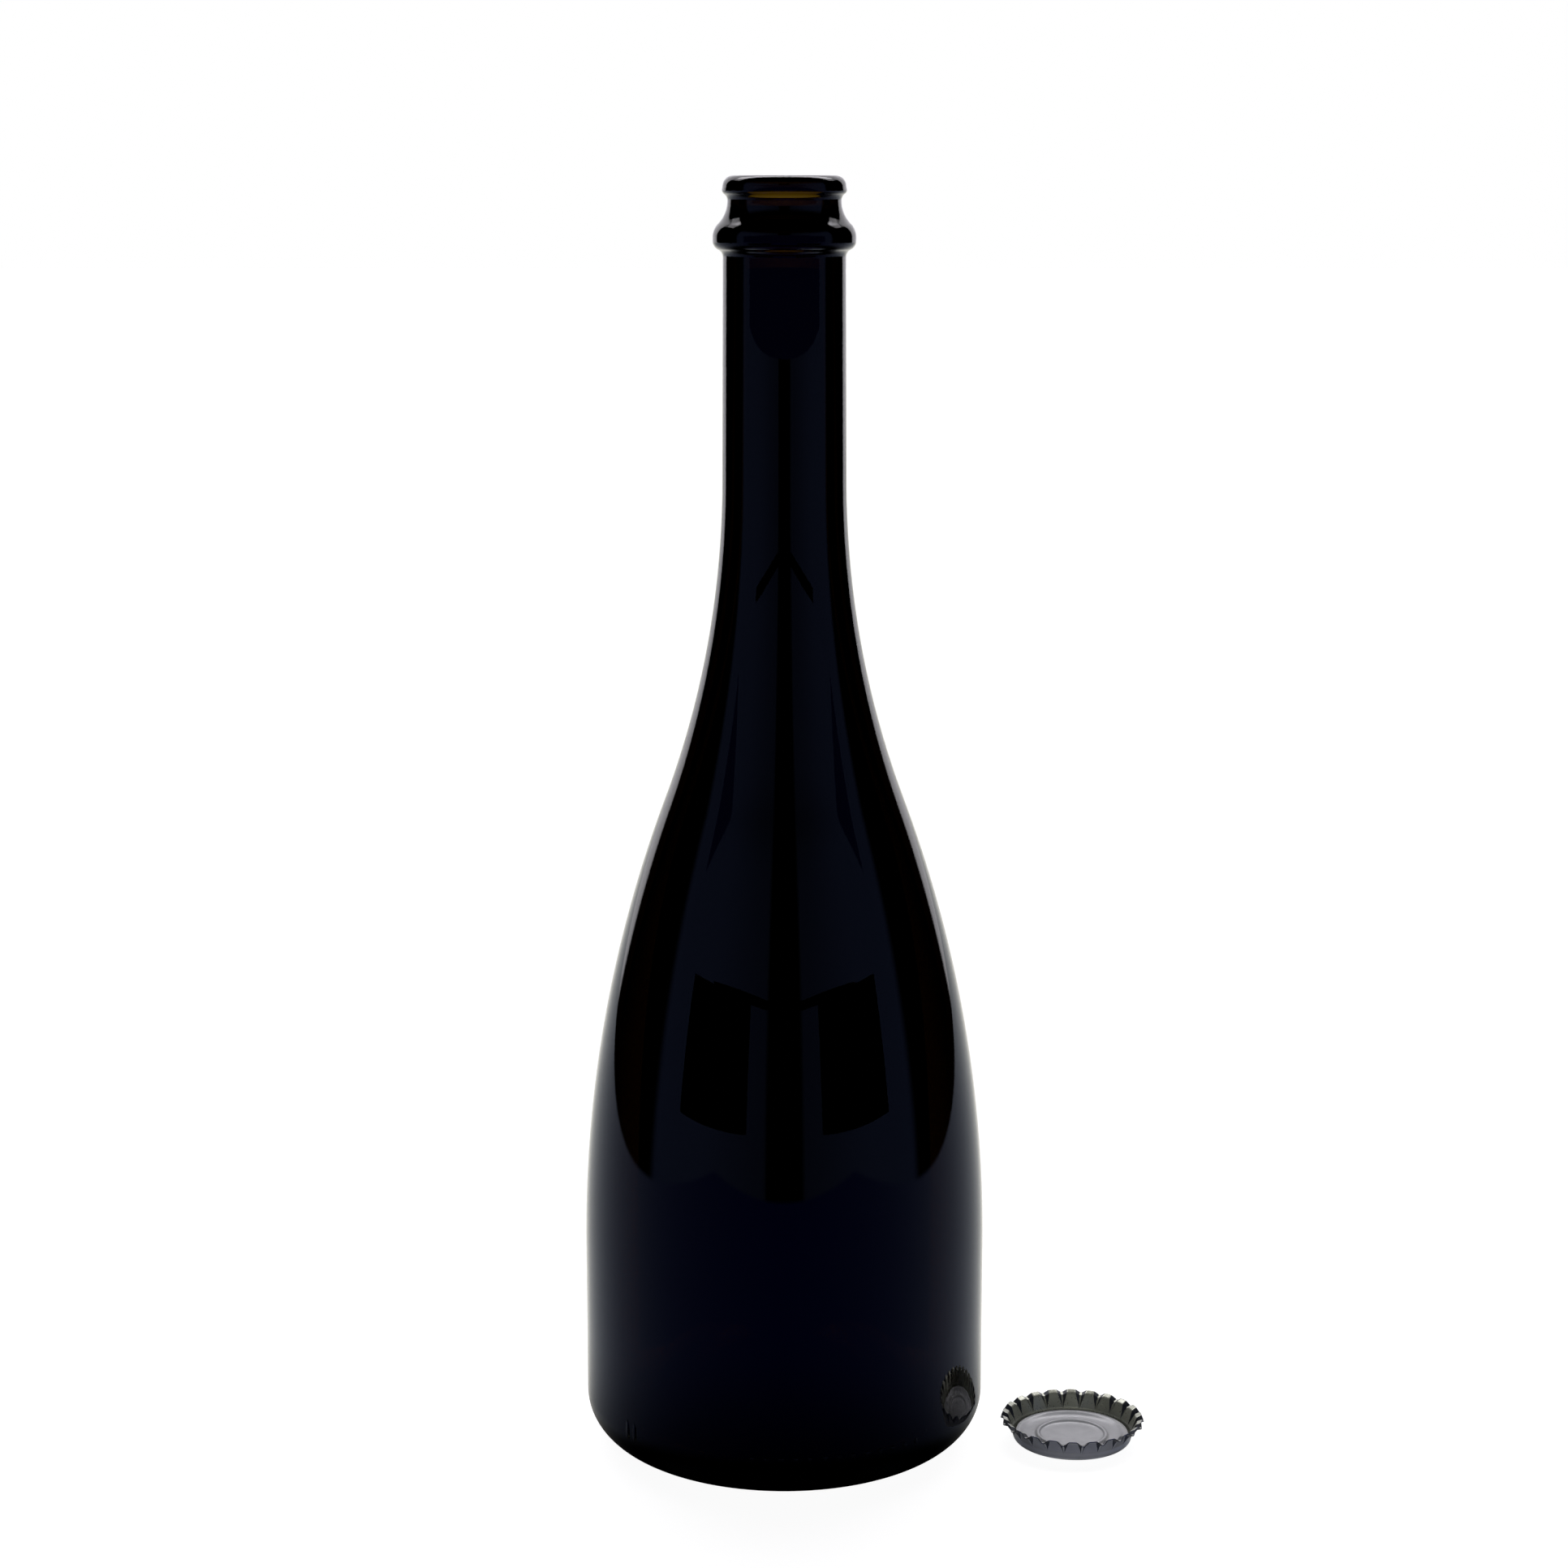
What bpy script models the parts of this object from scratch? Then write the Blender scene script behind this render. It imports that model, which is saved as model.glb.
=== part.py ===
"""A dark glass bottle for sparkling drinks, with its crown cap lying upside down beside it.

Three separate pieces, as on the bench: the moulded glass bottle, the pressed steel shell of
the crown cap and the sealing liner inside that shell. The bottle is one turned wall that is
open at the mouth. The shell is one folded sheet with a fluted, flaring skirt. The cap is
loose, so its two pieces hang under one empty that lifts straight up.

Metres, +Z up. The bottle and the cap stand on z = 0, and the origin is the middle of the
ground that the two cover together.
"""

import math

import bmesh
import bpy

MM = 0.001

# Bottle, outside
BOTTLE_HEIGHT = 306.9 * MM
BODY_RADIUS = 48.75 * MM
HEEL_REACH = 13.25 * MM
HEEL_HEIGHT = 12.3 * MM
BEARING_WIDTH = 2.0 * MM
SHOULDER_START = 49.5 * MM
SHOULDER_ARC_RADIUS = 315.0 * MM
SWEEP_ARC_RADIUS = 220.0 * MM
NECK_ROOT_RADIUS = 14.65 * MM
NECK_TOP_RADIUS = 14.33 * MM

# Bottle, inside
BODY_WALL = 4.3 * MM
LIP_WALL = 5.3 * MM
PUNT_DEPTH = 28.0 * MM
PUNT_WALL = 6.5 * MM
PUNT_EDGE_ROUND = 1.5 * MM
GUTTER_FLOOR = 7.0 * MM
GUTTER_DEPTH = 6.0 * MM

# Mouth of the bottle: crown lip, throat under it, and the collar that a wire hood grips
LIP_RADIUS = 14.5 * MM
LIP_DRAFT = 0.17 * MM
LIP_CREST_ROUND = 2.5 * MM
LIP_SIDE = 0.8 * MM
LIP_UNDER_ROUND = 1.1 * MM
LIP_INNER_ROUND = 1.5 * MM
THROAT_RADIUS = 13.23 * MM
THROAT_ROUND = 1.9 * MM
COLLAR_RADIUS = 16.69 * MM
COLLAR_BAND = 0.8 * MM
COLLAR_TOP_ROUND = 4.4 * MM
COLLAR_TOP_FILLET = 7.4 * MM
COLLAR_UNDER_ROUND = 2.25 * MM
COLLAR_UNDER_FILLET = 1.85 * MM

# Crown cap shell, measured as it lies with its panel on the ground
CAP_CLEARANCE = 5.4 * MM
CAP_BEARING_DEG = -5.3
CAP_EASE = 0.15 * MM
PANEL_CORNER_ROUND = 1.6 * MM
SKIRT_START = 2.2 * MM
SKIRT_LENGTH = 3.5 * MM
SKIRT_LEAN_DEG = 24.0
SKIRT_BEND = 1.4 * MM
FLANGE_LENGTH = 1.3 * MM
FLANGE_LEAN_DEG = 65.0
FLANGE_BEND = 0.8 * MM
RIDGE_DEPTH = 0.95 * MM
RIDGE_HALF_WIDTH = 1.2 * MM
RIDGE_CREST_HALF = 0.25 * MM
LEAST_RIDGE_SHARE = 0.2
SHEET = 0.25 * MM
FLUTES = 22
FIRST_RIDGE_DEG = 12.0

# Crown cap liner
LINER_SEAT = 0.2 * MM
LINER_EDGE_DEG = -40.0
LINER_SIDE = 0.75 * MM
LINER_SIDE_DRAFT = 0.12 * MM
LINER_RIM_WIDTH = 1.1 * MM
LINER_RIM_RISE = 0.35 * MM
LINER_SLOPE_WIDTH = 2.75 * MM
LINER_GROOVE_WIDTH = 0.9 * MM
LINER_RIDGE_HALF_WIDTH = 0.7 * MM
LINER_RIDGE_RISE = 0.4 * MM
LINER_DISC = 0.6 * MM

# Fineness of the round stretches
BOTTLE_SEGMENTS = 48
LINER_SEGMENTS = 44
LAND_COLUMNS = 3
BEND_STEPS = 2
SMALL_ARC_STEPS = 3
LONG_ARC_STEPS = 7
MERGE_DISTANCE = 0.001 * MM
SHARP_EDGE_DEG = 35

# Radii that follow from the sizes above
BEARING_RADIUS = BODY_RADIUS - HEEL_REACH
PANEL_RADIUS = LIP_RADIUS + CAP_EASE
LAND_EDGE_RADIUS = (PANEL_RADIUS + SKIRT_LENGTH * math.sin(math.radians(SKIRT_LEAN_DEG))
                    + FLANGE_LENGTH * math.sin(math.radians(FLANGE_LEAN_DEG)))


def arc(centre, radii, start_deg, end_deg, steps):
    """Points of an elliptic arc in the (radius, height) plane, both ends included."""
    angles = [math.radians(start_deg + (end_deg - start_deg) * i / steps) for i in range(steps + 1)]
    return [(centre[0] + radii[0] * math.cos(a), centre[1] + radii[1] * math.sin(a)) for a in angles]


def blend(start, outward, first_round, second_round, steps):
    """Two tangent arcs that step a vertical wall over to another radius, going up.

    start is where the lower wall ends, outward is how far the upper wall stands further
    out, and the two rounds are the radii of the lower and the upper arc.
    """
    side = 1 if outward > 0 else -1
    turn = math.degrees(math.acos(1 - abs(outward) / (first_round + second_round)))
    lower_centre = (start[0] + side * first_round, start[1])
    lower_from = 180 if side > 0 else 0
    lower = arc(lower_centre, (first_round, first_round), lower_from, lower_from - side * turn, steps)
    rise = (first_round + second_round) * math.sin(math.radians(turn))
    upper_centre = (start[0] + outward - side * second_round, start[1] + rise)
    upper_to = 0 if side > 0 else 180
    upper = arc(upper_centre, (second_round, second_round), upper_to - side * turn, upper_to, steps)
    return lower + upper[1:]


def blend_rise(outward, first_round, second_round):
    """Height that blend() takes up."""
    total = first_round + second_round
    return math.sqrt(total ** 2 - (total - abs(outward)) ** 2)


def finish_outline():
    """Outside of the mouth from the top of the neck up to the crest of the lip."""
    throat_to_lip = blend_rise(LIP_RADIUS - THROAT_RADIUS, THROAT_ROUND, LIP_UNDER_ROUND)
    collar_to_throat = blend_rise(COLLAR_RADIUS - THROAT_RADIUS, COLLAR_TOP_ROUND, COLLAR_TOP_FILLET)
    neck_to_collar = blend_rise(COLLAR_RADIUS - NECK_TOP_RADIUS, COLLAR_UNDER_FILLET, COLLAR_UNDER_ROUND)
    crest_base = BOTTLE_HEIGHT - LIP_CREST_ROUND
    throat = crest_base - LIP_SIDE - throat_to_lip
    band_top = throat - collar_to_throat
    neck_top = band_top - COLLAR_BAND - neck_to_collar
    crest_centre = LIP_RADIUS - LIP_DRAFT - LIP_CREST_ROUND
    return (
        blend((NECK_TOP_RADIUS, neck_top), COLLAR_RADIUS - NECK_TOP_RADIUS,
              COLLAR_UNDER_FILLET, COLLAR_UNDER_ROUND, SMALL_ARC_STEPS)
        + blend((COLLAR_RADIUS, band_top), THROAT_RADIUS - COLLAR_RADIUS,
                COLLAR_TOP_ROUND, COLLAR_TOP_FILLET, SMALL_ARC_STEPS)
        + blend((THROAT_RADIUS, throat), LIP_RADIUS - THROAT_RADIUS,
                THROAT_ROUND, LIP_UNDER_ROUND, SMALL_ARC_STEPS)[1:]
        + arc((crest_centre, crest_base), (LIP_CREST_ROUND, LIP_CREST_ROUND), 0, 90, 2 * SMALL_ARC_STEPS)
    )


def body_outline(wall):
    """Side of the body from the heel up to the root of the neck, set in by a wall."""
    turn = math.degrees(math.acos(1 - (BODY_RADIUS - NECK_ROOT_RADIUS) / (SHOULDER_ARC_RADIUS + SWEEP_ARC_RADIUS)))
    shoulder = SHOULDER_ARC_RADIUS - wall
    sweep = SWEEP_ARC_RADIUS + wall
    root_height = SHOULDER_START + (SHOULDER_ARC_RADIUS + SWEEP_ARC_RADIUS) * math.sin(math.radians(turn))
    shoulder_centre = (BODY_RADIUS - SHOULDER_ARC_RADIUS, SHOULDER_START)
    sweep_centre = (NECK_ROOT_RADIUS + SWEEP_ARC_RADIUS, root_height)
    lower = arc(shoulder_centre, (shoulder, shoulder), 0, turn, LONG_ARC_STEPS)
    upper = arc(sweep_centre, (sweep, sweep), 180 + turn, 180, LONG_ARC_STEPS)
    return lower + upper[1:]


def heel_outline():
    """Rounded heel from the bearing ring out to the body."""
    return arc((BEARING_RADIUS, HEEL_HEIGHT), (HEEL_REACH, HEEL_HEIGHT), 270, 360, 2 * SMALL_ARC_STEPS)


def punt_sphere():
    """Radius and centre height of the dome that is pushed up under the bottle."""
    edge = BEARING_RADIUS - BEARING_WIDTH - PUNT_EDGE_ROUND
    radius = (edge ** 2 + PUNT_DEPTH ** 2) / (2 * PUNT_DEPTH)
    return radius, PUNT_DEPTH - radius


def punt_outline():
    """Underside from the top of the punt down to the inner edge of the bearing ring."""
    radius, centre = punt_sphere()
    low = math.degrees(math.asin((PUNT_EDGE_ROUND - centre) / radius))
    dome = arc((0, centre), (radius, radius), 90, low, LONG_ARC_STEPS)
    return dome + [(BEARING_RADIUS - BEARING_WIDTH, 0)]


def inside_outline():
    """Inner wall from the top of the lip down through the bore to the floor's middle."""
    lip_edge = LIP_RADIUS - LIP_WALL + LIP_INNER_ROUND
    mouth = arc((lip_edge, BOTTLE_HEIGHT - LIP_INNER_ROUND), (LIP_INNER_ROUND, LIP_INNER_ROUND),
                90, 180, SMALL_ARC_STEPS)
    wall = body_outline(BODY_WALL)[::-1]
    radius, centre = punt_sphere()
    inner = radius + PUNT_WALL
    rim = GUTTER_FLOOR + GUTTER_DEPTH
    dome_angle = math.asin((rim - centre) / inner)
    dome_edge = inner * math.cos(dome_angle)
    half_gutter = (BODY_RADIUS - BODY_WALL - dome_edge) / 2
    gutter = arc((dome_edge + half_gutter, rim), (half_gutter, GUTTER_DEPTH), 360, 180, 2 * SMALL_ARC_STEPS)
    dome = arc((0, centre), (inner, inner), math.degrees(dome_angle), 90, LONG_ARC_STEPS)
    return mouth + wall + gutter + dome[1:]


def turned_mesh(name, outline, segments):
    """A closed solid from an outline that starts and ends on the axis, spun a full turn."""
    shape = bmesh.new()
    on_axis = [(0, outline[0][1])] + outline[1:-1] + [(0, outline[-1][1])]
    points = [shape.verts.new((radius, 0, height)) for radius, height in on_axis]
    edges = [shape.edges.new(pair) for pair in zip(points, points[1:])]
    bmesh.ops.spin(shape, geom=points + edges, cent=(0, 0, 0), axis=(0, 0, 1), angle=math.tau,
                   steps=segments, use_merge=True)
    bmesh.ops.remove_doubles(shape, verts=shape.verts, dist=MERGE_DISTANCE)
    bmesh.ops.recalc_face_normals(shape, faces=shape.faces)
    return finished_mesh(name, shape)


def finished_mesh(name, shape):
    """Turn the working shape into a smooth-shaded mesh with its real edges kept sharp."""
    mesh = bpy.data.meshes.new(name)
    shape.to_mesh(mesh)
    shape.free()
    mesh.shade_smooth()
    mesh.set_sharp_from_angle(angle=math.radians(SHARP_EDGE_DEG))
    return mesh


def land_profile():
    """The cap's skirt on a land, going up: (radius, height, lean in radians).

    It follows the sheet like a walk: each bend is an arc between its straight stretches,
    and takes its tangent length off both of them.
    """
    skirt_lean = math.radians(SKIRT_LEAN_DEG)
    flange_lean = math.radians(FLANGE_LEAN_DEG)
    low_tangent = SKIRT_BEND * math.tan(skirt_lean / 2)
    high_tangent = FLANGE_BEND * math.tan((flange_lean - skirt_lean) / 2)
    radius, height, lean = PANEL_RADIUS, SKIRT_START - low_tangent, 0
    rows = [(radius, height, lean)]
    for bend, next_lean, straight in (
            (SKIRT_BEND, skirt_lean, SKIRT_LENGTH - low_tangent - high_tangent),
            (FLANGE_BEND, flange_lean, FLANGE_LENGTH - high_tangent)):
        turn = (next_lean - lean) / BEND_STEPS
        for _ in range(BEND_STEPS):
            chord = 2 * bend * math.sin(turn / 2)
            radius += chord * math.sin(lean + turn / 2)
            height += chord * math.cos(lean + turn / 2)
            lean += turn
            rows.append((radius, height, lean))
        radius += straight * math.sin(lean)
        height += straight * math.cos(lean)
        rows.append((radius, height, lean))
    return rows


def shell_rows():
    """Outer face of the shell, panel to rim: (radius, height, lean, share of the ridges' full size)."""
    flat = PANEL_RADIUS - PANEL_CORNER_ROUND
    corner = arc((flat, PANEL_CORNER_ROUND), (PANEL_CORNER_ROUND, PANEL_CORNER_ROUND), 270, 360, SMALL_ARC_STEPS)
    land = land_profile()
    foot, rim = land[0][1], land[-1][1]
    return ([(radius, height, 0, 0) for radius, height in corner]
            + [(radius, height, lean, (height - foot) / (rim - foot)) for radius, height, lean in land])


def flute_columns():
    """Each column round the skirt: (its ridge's angle, share of foot, share of pitch, share of lift)."""
    crest = RIDGE_CREST_HALF / RIDGE_HALF_WIDTH
    columns = []
    for flute in range(FLUTES):
        ridge = math.radians(FIRST_RIDGE_DEG) + flute * math.tau / FLUTES
        columns += [(ridge, -crest, 0, 1), (ridge, crest, 0, 1)]
        for i in range(LAND_COLUMNS):
            across = i / (LAND_COLUMNS - 1)
            columns.append((ridge, 1 - 2 * across, across, 0))
    return columns


def shell_point(row, column):
    """One point of the shell's outer face."""
    radius, height, lean, share = row
    ridge, of_foot, of_pitch, of_lift = column
    lift = RIDGE_DEPTH * share * of_lift
    foot = RIDGE_HALF_WIDTH / LAND_EDGE_RADIUS * max(share, LEAST_RIDGE_SHARE)
    angle = ridge + foot * of_foot + math.tau / FLUTES * of_pitch
    reach = radius + lift * math.cos(lean)
    return (reach * math.cos(angle), reach * math.sin(angle), height - lift * math.sin(lean))


def shell_mesh(name):
    """The outer face of the pressed sheet: flat panel, rounded corner, fluted flaring skirt."""
    shape = bmesh.new()
    columns = flute_columns()
    rings = [[shape.verts.new(shell_point(row, column)) for column in columns] for row in shell_rows()]
    shape.faces.new(rings[0][::-1])
    for low, high in zip(rings, rings[1:]):
        for i in range(len(columns)):
            j = (i + 1) % len(columns)
            shape.faces.new((low[i], low[j], high[j], high[i]))
    bmesh.ops.recalc_face_normals(shape, faces=shape.faces)
    return finished_mesh(name, shape)


def liner_outline():
    """Half section of the liner: flat underside, corner, rim, groove, ridge ring, flat disc."""
    floor = SHEET + LINER_SEAT
    flat = PANEL_RADIUS - PANEL_CORNER_ROUND
    corner_round = PANEL_CORNER_ROUND - floor
    corner = arc((flat, PANEL_CORNER_ROUND), (corner_round, corner_round), -90, LINER_EDGE_DEG, SMALL_ARC_STEPS)
    edge = corner[-1][0] - LINER_SIDE_DRAFT
    edge_height = corner[-1][1] + LINER_SIDE
    rim = arc((edge - LINER_RIM_WIDTH / 2, edge_height), (LINER_RIM_WIDTH / 2, LINER_RIM_RISE),
              0, 180, 2 * SMALL_ARC_STEPS)
    disc_top = floor + LINER_DISC
    groove = edge - LINER_RIM_WIDTH - LINER_SLOPE_WIDTH
    ridge_centre = groove - LINER_GROOVE_WIDTH - LINER_RIDGE_HALF_WIDTH
    ridge = arc((ridge_centre, disc_top), (LINER_RIDGE_HALF_WIDTH, LINER_RIDGE_RISE), 0, 180, 2 * SMALL_ARC_STEPS)
    return [(0, floor)] + corner + rim + [(groove, disc_top)] + ridge + [(0, disc_top)]


def material(name, colour, roughness, metallic=0, transmission=0):
    """A Principled material with the piece's own colour and finish."""
    finish = bpy.data.materials.new(name)
    finish.use_nodes = True
    shader = finish.node_tree.nodes["Principled BSDF"]
    shader.inputs["Base Color"].default_value = (*colour, 1)
    shader.inputs["Roughness"].default_value = roughness
    shader.inputs["Metallic"].default_value = metallic
    shader.inputs["Transmission Weight"].default_value = transmission
    return finish


def piece(name, mesh, finish, place, parent):
    """Put a named piece in the scene."""
    mesh.materials.append(finish)
    item = bpy.data.objects.new(name, mesh)
    item.location = place
    item.parent = parent
    bpy.context.scene.collection.objects.link(item)
    return item


def make_bottle(parent):
    """The glass bottle, turned about its own axis."""
    outline = punt_outline() + heel_outline() + body_outline(0) + finish_outline() + inside_outline()
    mesh = turned_mesh("glass_bottle", outline, BOTTLE_SEGMENTS)
    return piece("glass_bottle", mesh, material("dark_glass", (0.02, 0.025, 0.012), 0.03, transmission=0.6),
                 (0, 0, 0), parent)


def make_cap(parent):
    """The crown cap's shell and liner, both about the cap's own axis."""
    steel = material("tinned_steel", (0.42, 0.45, 0.5), 0.3, metallic=1)
    shell = piece("crown_cap_shell", shell_mesh("crown_cap_shell"), steel, (0, 0, 0), parent)
    sheet = shell.modifiers.new("sheet", "SOLIDIFY")
    sheet.thickness = SHEET
    sheet.offset = -1
    sheet.use_even_offset = True
    liner_mesh = turned_mesh("crown_cap_liner", liner_outline(), LINER_SEGMENTS)
    piece("crown_cap_liner", liner_mesh, material("white_compound", (0.78, 0.78, 0.8), 0.4), (0, 0, 0), parent)
    return shell


def holder(name, place):
    """An empty that carries the pieces that move together."""
    empty = bpy.data.objects.new(name, None)
    empty.location = place
    bpy.context.scene.collection.objects.link(empty)
    return empty


def main():
    """Build the three pieces and set the origin under the middle of what they cover."""
    for old in list(bpy.data.objects):
        bpy.data.objects.remove(old, do_unlink=True)
    distance = BODY_RADIUS + CAP_CLEARANCE + LAND_EDGE_RADIUS
    bearing = math.radians(CAP_BEARING_DEG)
    bottle_axis = holder("bottle_axis", (0, 0, 0))
    cap_axis = holder("cap_axis", (distance * math.cos(bearing), distance * math.sin(bearing), 0))
    make_bottle(bottle_axis)
    shell = make_cap(cap_axis)
    cap_reach = cap_axis.location.x + max(point.co.x for point in shell.data.vertices)
    shift = (cap_reach - BODY_RADIUS) / 2
    bottle_axis.location.x -= shift
    cap_axis.location.x -= shift
    bpy.context.view_layer.update()


if __name__ == "__main__":
    main()
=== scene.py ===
"""A dark glass bottle for sparkling drinks, with its crown cap lying upside down beside it.

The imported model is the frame: the bottle stands on its own axis and the loose cap on another.
Each piece of glass, steel and compound is made again here with fine sections, real rounding
and its own finish, in the place that its solid has.
"""

import logging
import math
from dataclasses import dataclass
from enum import Enum
from typing import Any, NamedTuple

import bmesh
import bpy
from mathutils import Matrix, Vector


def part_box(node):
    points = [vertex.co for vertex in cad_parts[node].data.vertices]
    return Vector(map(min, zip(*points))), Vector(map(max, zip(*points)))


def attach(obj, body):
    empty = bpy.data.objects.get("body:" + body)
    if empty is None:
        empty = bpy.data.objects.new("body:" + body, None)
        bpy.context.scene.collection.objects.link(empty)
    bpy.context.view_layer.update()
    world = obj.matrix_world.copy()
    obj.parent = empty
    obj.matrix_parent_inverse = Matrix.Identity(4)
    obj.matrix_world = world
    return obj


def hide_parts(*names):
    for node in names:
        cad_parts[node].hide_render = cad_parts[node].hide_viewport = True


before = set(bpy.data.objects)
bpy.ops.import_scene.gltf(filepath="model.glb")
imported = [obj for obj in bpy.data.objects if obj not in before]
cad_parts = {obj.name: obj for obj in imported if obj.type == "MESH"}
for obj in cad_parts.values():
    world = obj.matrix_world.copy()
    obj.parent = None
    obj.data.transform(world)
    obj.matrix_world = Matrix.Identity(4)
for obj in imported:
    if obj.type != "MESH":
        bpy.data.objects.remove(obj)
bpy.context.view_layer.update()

LOG = logging.getLogger("bottle")
MM = 0.001
MERGE_DISTANCE = 0.001 * MM
FOLD_DEG = 40.0
CORNER_CUT = 0.25

Point2 = tuple[float, float]
Point3 = tuple[float, float, float]
Colour = tuple[float, float, float]
Node = bpy.types.Node
Socket = bpy.types.NodeSocket
Mesh = bpy.types.Mesh
Item = bpy.types.Object
Material = bpy.types.Material

WHITE: Colour = (1.0, 1.0, 1.0)
BLACK: Colour = (0.0, 0.0, 0.0)


class ShellFace(Enum):
    """Parts of the cap's sheet that have a finish of their own; the cut edge's dark colour is also painted shade on
    the last strip of the outer face, and the fold finish is painted shade on the flanks of the ridges.
    """

    OUTSIDE = 0
    # The raw cut edge, and painted shade on the last strip of the outer face by the rim.
    CUT = 1
    INSIDE = 2
    # Painted shade: a dark finish laid on the flanks of the ridges where they fold.
    FOLD = 3


class Edge(NamedTuple):
    """A soft limit: where it lies, and half the width over which it fades."""

    at: float
    half: float


class NodeBench:
    """Adds and wires nodes in one node tree."""

    def __init__(self, tree: bpy.types.NodeTree) -> None:
        """Work on this shader or geometry tree."""
        self.tree = tree

    def feed(self, socket: Socket, value: Any) -> None:
        """Link a socket, or set its value.

        Args:
            socket: The input to feed.
            value: A socket or node to link from, or a plain value.
        """
        if isinstance(value, Node):
            value = next(output for output in value.outputs if output.enabled)
        if isinstance(value, Socket):
            self.tree.links.new(value, socket)
        else:
            socket.default_value = (*value, 1.0) if socket.type == "RGBA" else value

    def add(self, kind: str, feeds: dict[Any, Any] | None = None, **settings: Any) -> Node:
        """Add a node.

        Args:
            kind: Blender's name of the node type.
            feeds: What goes into its inputs, by name or number.
            settings: Its own options.

        Returns:
            The new node.
        """
        node = self.tree.nodes.new(kind)
        for name, value in settings.items():
            setattr(node, name, value)
        for key, value in (feeds or {}).items():
            self.feed(node.inputs[key], value)
        return node

    def math(self, operation: str, *values: Any) -> Socket:
        """Work out one number from these sockets or numbers."""
        return self.add("ShaderNodeMath", dict(enumerate(values)), operation=operation).outputs[0]

    def product(self, *values: Any) -> Socket:
        """Multiply sockets or numbers, the first two first.

        Args:
            values: The factors.

        Returns:
            The product's socket.
        """
        result = values[0]
        for value in values[1:]:
            result = self.math("MULTIPLY", result, value)
        return result

    def ramp(self, value: Any, low: float, high: float, start: float = 0.0, end: float = 1.0) -> Socket:
        """Go softly from start, where a value is at low, to end, where it is at high."""
        feeds = {"Value": value, "From Min": low, "From Max": high, "To Min": start, "To Max": end}
        return self.add("ShaderNodeMapRange", feeds, interpolation_type="SMOOTHSTEP").outputs[0]

    def under(self, value: Any, edge: Edge) -> Socket:
        """One while a value is under a limit and zero over it."""
        return self.ramp(value, edge.at - edge.half, edge.at + edge.half, 1.0, 0.0)

    def over(self, value: Any, edge: Edge) -> Socket:
        """One while a value is over a limit and zero under it."""
        return self.ramp(value, edge.at - edge.half, edge.at + edge.half)

    def tint(self, colour: Any, amount: Any) -> Socket:
        """Scale a colour by a number."""
        return self.add("ShaderNodeVectorMath", {0: colour, "Scale": amount}, operation="SCALE").outputs[0]

    def total(self, *vectors: Any) -> Socket:
        """Add colours or places together.

        Args:
            vectors: What is added.

        Returns:
            The sum's socket.
        """
        result = vectors[0]
        for vector in vectors[1:]:
            result = self.add("ShaderNodeVectorMath", {0: result, 1: vector}, operation="ADD").outputs[0]
        return result

    def parts(self, vector: Any) -> Any:
        """The outputs X, Y and Z of a vector."""
        return self.add("ShaderNodeSeparateXYZ", {0: vector}).outputs


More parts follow.
